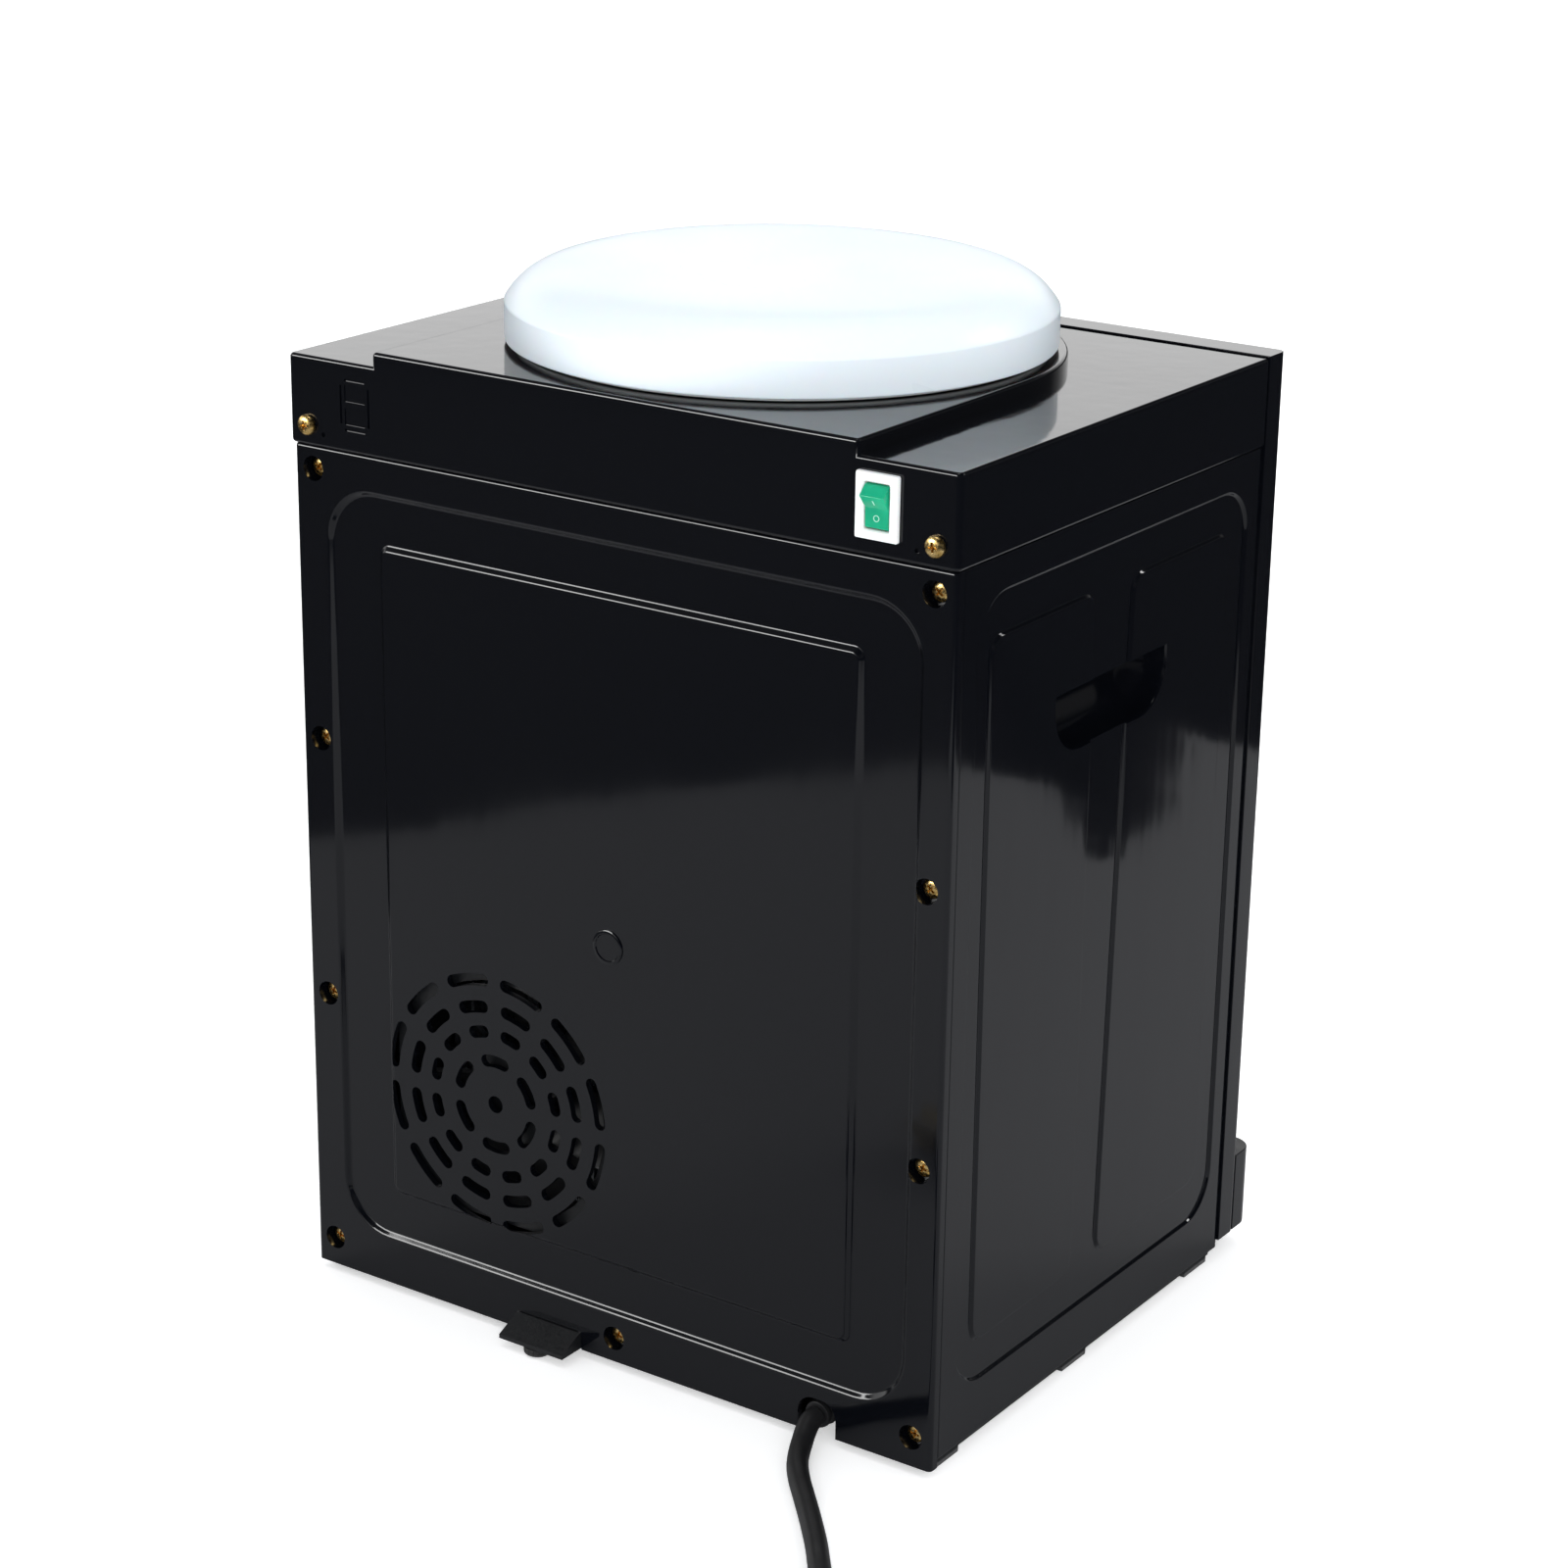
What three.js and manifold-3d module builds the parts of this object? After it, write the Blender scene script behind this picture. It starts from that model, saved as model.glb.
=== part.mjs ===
// A countertop bottled-water cooler with thermoelectric cooling.
// Millimetres, +Z up. The user stands at -Y, the rear faces +Y, and left and right are the user's.
// The origin is on the surface that the cooler stands on, under the middle of its outline.
import * as THREE from 'three';
import { mergeVertices } from 'three/addons/utils/BufferGeometryUtils.js';
import Module from 'manifold-3d';

const wasm = await Module();
wasm.setup();

// ---------------------------------------------------------------- driving dimensions
const GAP = 0.3; // left between pieces that touch
const WALL = 2.5; // moulded shell thickness

// cabinet
const HALF_WIDTH = 131.4; // top cover and front panel
const SIDE_X = 130.5; // outer face of the side panels
const FRONT_Y = -101.6; // outer face of the front panel
const FRONT_SEAM_Y = -89.9; // where the front panel meets the sides
const REAR_SEAM_Y = 99.5; // where the side panels meet the rear panel
const REAR_Y = 103.9; // outer face of the rear panel
const COVER_REAR_Y = 104.9; // rear face of the top cover
const SIDE_BOTTOM_Z = 6;
const REAR_BOTTOM_Z = 3;
const FRONT_BOTTOM_Z = 8.8;
const BODY_TOP_Z = 305; // seam under the top cover
const COVER_TOP_Z = 335.6;
const PLATFORM_TOP_Z = 340.5; // raised platform on the top cover
const PLATFORM_HALF_WIDTH = 95;
const SIDE_IN_X = SIDE_X - WALL;

// bottle opening, its seat and the dust cover, all on one upright axis
const SEAT_Y = 7.5;
const COVER_OPENING_R = 78;
const DUST_COVER_R = 92;
const DUST_SKIRT_BOTTOM_Z = 342.2;
const DUST_SKIRT_TOP_Z = 354.6;
const DUST_RISE = 12; // from the skirt's top to the crown
const DUST_WALL = 2.2;
const DUST_RIB = { inner: 86, z: [343.6, 346] }; // ring inside the skirt that rests on the seat's flange
const SEAT_FLANGE_R = 88.6;
const SEAT_RIM = { inner: 81.5, outer: 84, z: 349 };
const SEAT_BODY_R = 76;
const FUNNEL_TOP_Z = 322;
const NECK_R = 31; // outside of the socket that takes the bottle's neck
const NECK_Z = [246, 286.7];
const CUP_R = 36;
const CUP_Z = [238, 262];
const SPOUT_R = 4;
const SPOUT_BORE_R = 2.5;
const CUP_SPOUT_X = 20;

// cup bay in the front panel, with the drip tray in its foot
const BAY_HALF_WIDTH = 96;
const BAY_TOP_Z = 266;
const BAY_BACK_Y = -42;
const TRAY_FRONT_Y = -116.2;
const TRAY_HALF_WIDTH = 130.4;
const TRAY_Z = [8, 38];
const TRAY_CORNER_R = 8;
const TAP_X = 38; // the cold tap is at +X, the room tap at -X
const TAP_Z = 195;
const TAP_SPOUT_Y = -70;
const LEVER_Z = 215;

// carrying grip in each side panel
const GRIP_Y = [-28.4, 42.3];
const GRIP_Z = [229.5, 250];
const GRIP_CORNER_R = 16;
const GRIP_DEPTH = 16;
const GRIP_WALL = 2;

// front lamps
const LAMP_X = 12;
const LAMP_Z = 300;
const LAMP_R = 2.5;

// rear panel
const VENT_X = 48;
const VENT_Z = 85.3;
const VENT_SLOT_WIDTH = 4.4;
const VENT_RINGS = [
  { radius: 15.9, slots: 6, sweep: 43, first: 90 },
  { radius: 26.3, slots: 12, sweep: 19, first: 15 },
  { radius: 35.3, slots: 12, sweep: 21, first: 15 },
  { radius: 45, slots: 12, sweep: 23.5, first: 15 },
];
const RAIL_X = 117; // inner edge of the screw rails
const SCREW_X = 122.5;
const SCREW_ROWS = [13.4, 108.1, 202.3, 297.2];
const FOOT_SCREW_X = -2.4;
const FOOT_SCREW_Z = 11.7;
const COVER_SCREW_X = 123.3;
const COVER_SCREW_Z = 312.3;
const SCREW_HEAD_R = 3.5;
const SCREW_SHAFT_R = 1.6;
const SCREW_WELL_R = 4.3;
const SCREW_WELL_DEPTH = 5.2;
const SCREW_HOLE_R = 2.1;
const DRAIN_NOTCH_X = [11.5, 39.5];
const DRAIN_NOTCH_TOP_Z = 9.8;
const CORD_NOTCH_X = [-93.5, -78.5];
const CORD_NOTCH_TOP_Z = 15.5;

// switch, and the blanked hole for a second one
const SWITCH_X = -102.8;
const SWITCH_Z = 321.3;
const SWITCH_FLANGE = [15.5, 20.8];
const SWITCH_CUTOUT = [12.9, 18.6];
const ROCKER_OPENING = [9.1, 14.5];
const ROCKER_PIVOT_Y = 104.5;
const ROCKER_R = 6.95; // the rocker's ends are round about its pivot
const BLANK_SIZE = [11.6, 16.7];

// cold side: tank, foam, thermoelectric module, heat sink and fan in one stack towards the rear
const TANK_Y = 1;
const TANK_R = 34;
const TANK_Z = [50, 165];
const MODULE_HALF = 20;
const STACK = {
  block: [24, 50.5],
  module: [50.8, 54.6],
  sinkBase: [54.9, 59.9],
  sinkFins: 74.4,
  fan: [74.8, 99.8],
};
const LID_SPOUTS_X = [VENT_X - 14, VENT_X + 14];
const FAN_HALF = 46;
const FAN_BORE_R = 43.5;
const HOSE_R = 5;
const HOSE_BORE_R = 2.6;

// circuit board on four posts
const BOARD_X = [-112, -26];
const BOARD_Y = [-4, 66];
const BOARD_Z = 16;
const BOARD_POSTS = [
  [BOARD_X[0] + 6, BOARD_Y[0] + 6], [BOARD_X[1] - 6, BOARD_Y[0] + 6],
  [BOARD_X[0] + 6, BOARD_Y[1] - 6], [BOARD_X[1] - 6, BOARD_Y[1] - 6],
];

// feet under the base plate
const FOOT_X = [119.5, 127.5];
const FOOT_Y = [-80, 7, 90];
const FOOT_LENGTH = 16;
const FOOT_TOP_Z = 3;

// drain
const DRAIN_X = 25.5;
const DRAIN_Y = 110.2;
const DRAIN_KNOB_R = 4.9;
const DRAIN_PIPE_Z = 12;

// mains lead
const CORD_R = 3.65;
const CORD_EXIT_Y = 102.4;
const COIL_TRACK_R = 40.4; // centre line of the outer turns
const COIL_PITCH = 7.8; // between neighbouring turns and layers
const COIL_LAYERS = 3;
const LEAD_IN = 100; // straight run from the last route point to the coil's tangent point
const RING_CLEARANCE = 26; // along the tangent, until the lead is clear of the coil's ring
const TAIL_LENGTH = 104;
const PLUG_Z = 10.2;
const HEADING = new THREE.Vector2(-0.628, 0.778).normalize();
const CORD_ROUTE = [
  [-85.0, 103.0, 8.6], [-85.1, 105.8, 8.2], [-86.0, 110.0, 6.7], [-87.6, 114.4, 5.1], [-89.8, 119.4, 4.1],
  [-92.9, 124.9, 3.75], [-98.8, 132.6, 3.7], [-105.8, 140.3, 3.7], [-112.8, 147.9, 3.7],
  [-119.6, 155.5, 3.7], [-126.4, 163.4, 3.7], [-133.2, 172.0, 3.7],
];

// ---------------------------------------------------------------- materials
function plastic(color, roughness) {
  return new THREE.MeshStandardMaterial({ color, roughness, metalness: 0 });
}

function metal(color, roughness) {
  return new THREE.MeshStandardMaterial({ color, roughness, metalness: 1 });
}

const glossBlack = plastic(0x0d0e12, 0.15);
const matteBlack = plastic(0x17181a, 0.55);
const coverWhite = plastic(0xf3f8fd, 0.3);
const seatWhite = plastic(0xe9edf0, 0.35);
const switchGreen = plastic(0x1aa878, 0.3);
const bezelWhite = plastic(0xf5f6f6, 0.35);
const coldBlue = plastic(0x2d6fd0, 0.3);
const roomWhite = plastic(0xe8e8ea, 0.3);
const foamWhite = plastic(0xf4f4f0, 0.9);
const boardGreen = plastic(0x1d6b3c, 0.6);
const siliconeClear = plastic(0xdfe5e6, 0.4);
const lampRed = plastic(0xd53a2a, 0.25);
const lampGreen = plastic(0x35c46a, 0.25);
const cordBlack = plastic(0x141416, 0.5);
const aluminium = metal(0xc3c7cb, 0.4);
const goldZinc = metal(0xc9a04a, 0.35);
const steel = metal(0x9a9da1, 0.35);
const ceramicWhite = plastic(0xededea, 0.5);

// ---------------------------------------------------------------- shape helpers
function box(x, y, z) {
  const geometry = new THREE.BoxGeometry(x[1] - x[0], y[1] - y[0], z[1] - z[0]);
  return geometry.translate((x[0] + x[1]) / 2, (y[0] + y[1]) / 2, (z[0] + z[1]) / 2);
}

function around(centre, size) {
  return [centre - size / 2, centre + size / 2];
}

function rodAlongZ(radius, z, x, y, sides = 20) {
  const geometry = new THREE.CylinderGeometry(radius, radius, z[1] - z[0], sides);
  return geometry.rotateX(Math.PI / 2).translate(x, y, (z[0] + z[1]) / 2);
}

function rodAlongY(radius, y, x, z, sides = 20) {
  const geometry = new THREE.CylinderGeometry(radius, radius, y[1] - y[0], sides);
  return geometry.translate(x, (y[0] + y[1]) / 2, z);
}

function rodAlongX(radius, x, y, z, sides = 16) {
  const geometry = new THREE.CylinderGeometry(radius, radius, x[1] - x[0], sides);
  return geometry.rotateZ(Math.PI / 2).translate((x[0] + x[1]) / 2, y, z);
}

// A body of revolution about an upright axis, from [radius, height] pairs that run outside upwards.
function turned(profile, x, y, sides = 32) {
  const points = profile.map(([radius, height]) => new THREE.Vector2(radius, height));
  return new THREE.LatheGeometry(points, sides).rotateX(Math.PI / 2).translate(x, y, 0);
}

// The same about an axis along Y, with the profile's heights as Y.
function turnedAlongY(profile, x, z, sides = 16) {
  const points = profile.map(([radius, height]) => new THREE.Vector2(radius, height));
  return new THREE.LatheGeometry(points, sides).translate(x, 0, z);
}

function polygon(points) {
  return new THREE.Shape(points.map(([u, v]) => new THREE.Vector2(u, v)));
}

// A rectangle whose corners have radii in the order low-low, high-low, high-high, low-high.
function roundedRectangle(u, v, radii) {
  const shape = new THREE.Shape();
  const corners = [[u[0], v[0], 1, 1], [u[1], v[0], -1, 1], [u[1], v[1], -1, -1], [u[0], v[1], 1, -1]];
  corners.forEach(([cu, cv, su, sv], index) => {
    const radius = radii[index];
    const start = Math.PI + (index * Math.PI) / 2;
    if (radius === 0) {
      if (index === 0) shape.moveTo(cu, cv);
      else shape.lineTo(cu, cv);
    } else {
      shape.absarc(cu + su * radius, cv + sv * radius, radius, start, start + Math.PI / 2, false);
    }
  });
  return shape;
}

function extrudeAlongZ(shape, z, curveSegments = 3) {
  const depth = z[1] - z[0];
  const geometry = new THREE.ExtrudeGeometry(shape, { depth, bevelEnabled: false, curveSegments });
  return geometry.translate(0, 0, z[0]);
}

// An outline in X and Z, as thick as the span in Y.
function extrudeAlongY(shape, y, curveSegments = 3) {
  return extrudeAlongZ(shape, [0, y[1] - y[0]], curveSegments).rotateX(Math.PI / 2).translate(0, y[1], 0);
}

// An outline in Y and Z, as thick as the span in X.
function extrudeAlongX(shape, x, curveSegments = 3) {
  const geometry = extrudeAlongZ(shape, [0, x[1] - x[0]], curveSegments);
  return geometry.rotateX(Math.PI / 2).rotateZ(Math.PI / 2).translate(x[0], 0, 0);
}

function circle(radius, sides) {
  const points = [];
  for (let index = 0; index < sides; index += 1) {
    const angle = (index / sides) * Math.PI * 2;
    points.push([radius * Math.cos(angle), radius * Math.sin(angle)]);
  }
  return polygon(points);
}

// A round tube or lead through the points, with flat ends.
function tube(points, radius, steps, sides = 10) {
  const path = new THREE.CatmullRomCurve3(points.map((point) => new THREE.Vector3(...point)));
  return new THREE.ExtrudeGeometry(circle(radius, sides), { steps, extrudePath: path, bevelEnabled: false });
}

function toSolid(geometry) {
  const bare = geometry.clone();
  bare.deleteAttribute('normal');
  bare.deleteAttribute('uv');
  const merged = mergeVertices(bare, 1e-4);
  const mesh = new wasm.Mesh({
    numProp: 3,
    vertProperties: Float32Array.from(merged.attributes.position.array),
    triVerts: Uint32Array.from(merged.index.array),
  });
  return new wasm.Manifold(mesh);
}

function toGeometry(solid) {
  const mesh = solid.getMesh();
  const geometry = new THREE.BufferGeometry();
  geometry.setAttribute('position', new THREE.BufferAttribute(mesh.vertProperties, 3));
  geometry.setIndex(new THREE.BufferAttribute(mesh.triVerts, 1));
  geometry.computeVertexNormals();
  return geometry;
}

// The first list joined, less the second list.
function carve(added, removed = []) {
  let solid = toSolid(added[0]);
  added.slice(1).forEach((geometry) => {
    solid = solid.add(toSolid(geometry));
  });
  removed.forEach((geometry) => {
    solid = solid.subtract(toSolid(geometry));
  });
  return toGeometry(solid);
}

const cooler = new THREE.Group();

function place(name, geometry, material) {
  const mesh = new THREE.Mesh(geometry, material);
  mesh.name = name;
  cooler.add(mesh);
}

// ---------------------------------------------------------------- cabinet shells
// A curved slot with round ends; the sweep takes in both ends.
function ventSlot(radius, middle, sweep) {
  const half = VENT_SLOT_WIDTH / 2;
  const start = THREE.MathUtils.degToRad(middle - sweep / 2) + half / radius;
  const end = THREE.MathUtils.degToRad(middle + sweep / 2) - half / radius;
  const slot = new THREE.Shape();
  const roundEnd = (angle, from) => {
    slot.absarc(radius * Math.cos(angle), radius * Math.sin(angle), half, from, from + Math.PI, false);
  };
  slot.absarc(0, 0, radius + half, start, end, false);
  roundEnd(end, end);
  slot.absarc(0, 0, radius - half, end, start, true);
  roundEnd(start, start + Math.PI);
  return extrudeAlongY(slot, [REAR_Y - 6, REAR_Y + 1], 1).translate(VENT_X, 0, VENT_Z);
}

function ventSlots() {
  const slots = [rodAlongY(3.1, [REAR_Y - 6, REAR_Y + 1], VENT_X, VENT_Z, 12)];
  VENT_RINGS.forEach(({ radius, slots: count, sweep, first }) => {
    for (let index = 0; index < count; index += 1) {
      slots.push(ventSlot(radius, first + (index * 360) / count, sweep));
    }
  });
  return slots;
}

function rearScrewPlaces() {
  const places = [[FOOT_SCREW_X, FOOT_SCREW_Z]];
  SCREW_ROWS.forEach((z) => places.push([-SCREW_X, z], [SCREW_X, z]));
  return places;
}

function rearPanel() {
  const returnY = REAR_SEAM_Y + GAP;
  const section = roundedRectangle([-SIDE_X, SIDE_X], [returnY, REAR_Y], [0, 0, 1.6, 1.6]);
  const added = [extrudeAlongZ(section, [REAR_BOTTOM_Z, BODY_TOP_Z])];
  const railY = REAR_Y - WALL - 4.1;
  const railEnd = SIDE_IN_X - GAP;
  [[-railEnd, -RAIL_X], [RAIL_X, railEnd]].forEach((x) => {
    added.push(box(x, [railY, REAR_Y - 1], [SIDE_BOTTOM_Z, BODY_TOP_Z]));
  });
  added.push(box([-8, 8], [railY, REAR_Y - 1], [SIDE_BOTTOM_Z, FOOT_SCREW_Z + 6]));
  const removed = ventSlots();
  const hollow = [REAR_SEAM_Y - 5, REAR_Y - WALL];
  removed.push(box([-RAIL_X, -8], hollow, [REAR_BOTTOM_Z - 1, BODY_TOP_Z + 1]));
  removed.push(box([8, RAIL_X], hollow, [REAR_BOTTOM_Z - 1, BODY_TOP_Z + 1]));
  removed.push(box([-8.1, 8.1], hollow, [FOOT_SCREW_Z + 6, BODY_TOP_Z + 1]));
  removed.push(box(DRAIN_NOTCH_X, [railY, REAR_Y + 1], [REAR_BOTTOM_Z - 1, DRAIN_NOTCH_TOP_Z]));
  removed.push(box(CORD_NOTCH_X, [railY, REAR_Y + 1], [REAR_BOTTOM_Z - 1, CORD_NOTCH_TOP_Z]));
  rearScrewPlaces().forEach(([x, z]) => {
    removed.push(rodAlongY(SCREW_WELL_R, [REAR_Y - SCREW_WELL_DEPTH, REAR_Y + 1], x, z, 16));
    removed.push(rodAlongY(SCREW_HOLE_R, [railY - 1, REAR_Y], x, z, 12));
  });
  return carve(added, removed);
}

function gripOutline(margin) {
  const corner = GRIP_CORNER_R + margin;
  const y = [GRIP_Y[0] - margin, GRIP_Y[1] + margin];
  const z = [GRIP_Z[0] - margin, GRIP_Z[1] + margin];
  return roundedRectangle(y, z, [corner, corner, 0, 0]);
}

// Drawn for the +X side; side is 1 or -1.
function sidePanel(side) {
  const bossX = [RAIL_X, SIDE_IN_X + 0.5];
  const pocketX = SIDE_X - GRIP_DEPTH;
  const added = [box([SIDE_IN_X, SIDE_X], [FRONT_SEAM_Y + GAP, REAR_SEAM_Y], [SIDE_BOTTOM_Z, BODY_TOP_Z])];
  added.push(extrudeAlongX(gripOutline(GRIP_WALL), [pocketX - GRIP_WALL, SIDE_IN_X + 0.5]));
  SCREW_ROWS.forEach((z) => added.push(box(bossX, [84, 97], [z - 5, z + 5])));
  const coverBossZ = [BODY_TOP_Z + 0.6, COVER_SCREW_Z + 6];
  added.push(box(bossX, [84, 97], [SCREW_ROWS[3], coverBossZ[1]]));
  added.push(box(bossX, [84, COVER_REAR_Y - WALL - GAP], coverBossZ));
  const removed = [extrudeAlongX(gripOutline(0), [pocketX, SIDE_X + 1])];
  SCREW_ROWS.forEach((z) => removed.push(rodAlongY(2, [86, 98], SCREW_X, z, 12)));
  removed.push(rodAlongY(2, [86, COVER_REAR_Y], COVER_SCREW_X, COVER_SCREW_Z, 12));
  const panel = carve(added, removed);
  return side > 0 ? panel : mirrored(panel);
}

// The same piece on the other side of the cabinet.
function mirrored(geometry) {
  const copy = geometry.clone().scale(-1, 1, 1);
  const index = copy.index.array;
  for (let corner = 0; corner < index.length; corner += 3) {
    [index[corner + 1], index[corner + 2]] = [index[corner + 2], index[corner + 1]];
  }
  copy.computeVertexNormals();
  return copy;
}

function topCover() {
  const frontY = FRONT_SEAM_Y + GAP;
  const seamZ = BODY_TOP_Z + GAP;
  const platform = (margin) => {
    const half = PLATFORM_HALF_WIDTH - margin;
    return [
      box([-half, half], [SEAT_Y, COVER_REAR_Y - margin], [COVER_TOP_Z - 5, PLATFORM_TOP_Z - margin]),
      rodAlongZ(half, [COVER_TOP_Z - 5, PLATFORM_TOP_Z - margin], 0, SEAT_Y, 48),
    ];
  };
  const lid = box([-HALF_WIDTH, HALF_WIDTH], [frontY, COVER_REAR_Y], [seamZ, COVER_TOP_Z]);
  const added = [lid, ...platform(0)];
  const insideX = HALF_WIDTH - WALL;
  const throughRear = [COVER_REAR_Y - 4, COVER_REAR_Y + 1];
  const removed = [
    box([-insideX, insideX], [frontY + WALL, COVER_REAR_Y - WALL], [seamZ - 1, COVER_TOP_Z - WALL]),
    ...platform(WALL),
    rodAlongZ(COVER_OPENING_R, [seamZ, PLATFORM_TOP_Z + 1], 0, SEAT_Y, 48),
    box(around(SWITCH_X, SWITCH_CUTOUT[0]), throughRear, around(SWITCH_Z, SWITCH_CUTOUT[1])),
    ...blankSlots(throughRear),
  ];
  [-COVER_SCREW_X, COVER_SCREW_X].forEach((x) => {
    removed.push(rodAlongY(SCREW_HOLE_R, throughRear, x, COVER_SCREW_Z, 12));
  });
  return carve(added, removed);
}

// Four slots round the blank for a second switch, with a small bridge at each corner.
function blankSlots(y) {
  const [width, height] = BLANK_SIZE;
  const slots = [];
  [-1, 1].forEach((side) => {
    slots.push(box(around(-SWITCH_X + (side * width) / 2, 0.8), y, around(SWITCH_Z, height - 3)));
    slots.push(box(around(-SWITCH_X, width - 3), y, around(SWITCH_Z + (side * height) / 2, 0.8)));
  });
  return slots;
}

function frontPanel() {
  const topZ = PLATFORM_TOP_Z - 4.3;
  const outline = roundedRectangle([-HALF_WIDTH, HALF_WIDTH], [FRONT_Y, FRONT_SEAM_Y], [3, 3, 0, 0]);
  const insideX = HALF_WIDTH - WALL;
  const bay = BAY_HALF_WIDTH + WALL;
  const added = [carve(
    [extrudeAlongZ(outline, [FRONT_BOTTOM_Z, topZ])],
    [box([-insideX, insideX], [FRONT_Y + WALL, FRONT_SEAM_Y + 1], [FRONT_BOTTOM_Z + WALL, topZ - WALL])],
  )];
  added.push(box([-bay, bay], [FRONT_Y + 1, BAY_BACK_Y + WALL], [FRONT_BOTTOM_Z, BAY_TOP_Z + WALL]));
  const removed = [
    box([-BAY_HALF_WIDTH, BAY_HALF_WIDTH], [FRONT_Y - 1, BAY_BACK_Y], [FRONT_BOTTOM_Z + WALL, BAY_TOP_Z]),
  ];
  [-TAP_X, TAP_X].forEach((x) => {
    removed.push(rodAlongY(7.3, [BAY_BACK_Y - 1, BAY_BACK_Y + WALL + 1], x, TAP_Z, 16));
  });
  [-LAMP_X, LAMP_X].forEach((x) => {
    removed.push(rodAlongY(LAMP_R + GAP, [FRONT_Y - 1, FRONT_Y + WALL + 1], x, LAMP_Z, 12));
  });
  return carve(added, removed);
}

function basePlate() {
  const [footLow, footHigh] = FOOT_X;
  const topZ = SIDE_BOTTOM_Z - GAP;
  const added = [box([-footHigh, footHigh], [FRONT_SEAM_Y + GAP, REAR_SEAM_Y], [2.2, topZ])];
  FOOT_Y.forEach((y) => {
    added.push(box([footLow, footHigh], around(y, FOOT_LENGTH), [0, FOOT_TOP_Z]));
    added.push(box([-footHigh, -footLow], around(y, FOOT_LENGTH), [0, FOOT_TOP_Z]));
  });
  const flapX = [DRAIN_NOTCH_X[0] + GAP, DRAIN_NOTCH_X[1] - GAP];
  const flap = polygon([
    [REAR_SEAM_Y - 2, 3.4], [114.4, 3.4], [114.4, 4.9], [104.5, 9.4], [REAR_SEAM_Y - 2, 9.4],
  ]);
  added.push(extrudeAlongX(flap, flapX));
  added.push(box([-7.5, 7.5], [84, 97], [4, FOOT_SCREW_Z + 5]));
  BOARD_POSTS.forEach(([x, y]) => added.push(rodAlongZ(3, [4, BOARD_Z - GAP], x, y, 12)));
  const removed = [
    box([flapX[0] + 2, flapX[1] - 2], [90, 108], [0, 7.4]),
    rodAlongZ(3.2, [0, 4.9], DRAIN_X, DRAIN_Y, 12),
    box(CORD_NOTCH_X, [74, REAR_SEAM_Y + 1], [0, 7]),
    rodAlongY(2, [86, 98], FOOT_SCREW_X, FOOT_SCREW_Z, 12),
    box([-110, 96], [-86, 70], [0, 3.4]),
  ];
  return carve(added, removed);
}

// ---------------------------------------------------------------- bottle seat and dust cover
// Radius and height on a crown that is nearly flat and turns down sharply near the skirt.
function crownPoint(radius, share, rise) {
  return [radius * share, rise * (1 - share ** 12)];
}

function dustCover() {
  const inner = DUST_COVER_R - DUST_WALL;
  const shares = [0.985, 0.965, 0.94, 0.9, 0.84, 0.74, 0.6];
  const profile = [[inner, DUST_SKIRT_BOTTOM_Z], [DUST_COVER_R, DUST_SKIRT_BOTTOM_Z]];
  profile.push([DUST_COVER_R, DUST_SKIRT_TOP_Z]);
  shares.forEach((share) => {
    const [radius, height] = crownPoint(DUST_COVER_R, share, DUST_RISE);
    profile.push([radius, DUST_SKIRT_TOP_Z + height]);
  });
  profile.push([0, DUST_SKIRT_TOP_Z + DUST_RISE]);
  profile.push([0, DUST_SKIRT_TOP_Z + DUST_RISE - DUST_WALL]);
  [0.6, 0.74, 0.84, 0.9, 0.95].forEach((share) => {
    const [radius, height] = crownPoint(inner, share, DUST_RISE - DUST_WALL);
    profile.push([radius, DUST_SKIRT_TOP_Z + height]);
  });
  const { inner: ribR, z: ribZ } = DUST_RIB;
  profile.push([inner, ribZ[1]], [ribR, ribZ[1]], [ribR, ribZ[0]], [inner, ribZ[0]]);
  profile.push([inner, DUST_SKIRT_BOTTOM_Z]);
  return turned(profile, 0, SEAT_Y, 32);
}

// Flange, rim and funnel. The funnel's foot stands on the neck socket.
function bottleSeat() {
  const flangeZ = [PLATFORM_TOP_Z + GAP, PLATFORM_TOP_Z + 2.8];
  const footZ = NECK_Z[1] + GAP;
  return turned([
    [NECK_R - WALL, footZ], [NECK_R, footZ], [SEAT_BODY_R, FUNNEL_TOP_Z], [SEAT_BODY_R, flangeZ[0]],
    [SEAT_FLANGE_R, flangeZ[0]], [SEAT_FLANGE_R, flangeZ[1]], [SEAT_RIM.outer, flangeZ[1]],
    [SEAT_RIM.outer, SEAT_RIM.z], [SEAT_RIM.inner, SEAT_RIM.z], [SEAT_RIM.inner, flangeZ[0] + 1],
    [SEAT_BODY_R - WALL, flangeZ[0]], [SEAT_BODY_R - WALL, FUNNEL_TOP_Z + 1], [NECK_R - WALL, footZ + 1],
    [NECK_R - WALL, footZ],
  ], 0, SEAT_Y, 28);
}

function neckSocket() {
  const [bottom, top] = NECK_Z;
  return turned([
    [6, bottom], [NECK_R, bottom], [NECK_R, top], [NECK_R - WALL, top], [NECK_R - WALL, bottom + WALL],
    [6, bottom + WALL], [6, bottom],
  ], 0, SEAT_Y, 28);
}

// A hollow needle that opens the bottle's cap, with windows near its top.
function bottleProbe() {
  const footZ = NECK_Z[0] + WALL + GAP;
  const profile = [
    [5, footZ], [14, footZ], [14, footZ + 2], [8, footZ + 2], [8, 293], [5, 300], [0, 300],
    [0, 297], [5, 291], [5, footZ],
  ];
  const needle = turned(profile, 0, SEAT_Y, 14);
  return carve([needle], [
    box([-10, 10], [SEAT_Y - 2, SEAT_Y + 2], [272, 287]),
    box([-2, 2], [SEAT_Y - 10, SEAT_Y + 10], [272, 287]),
  ]);
}

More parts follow.
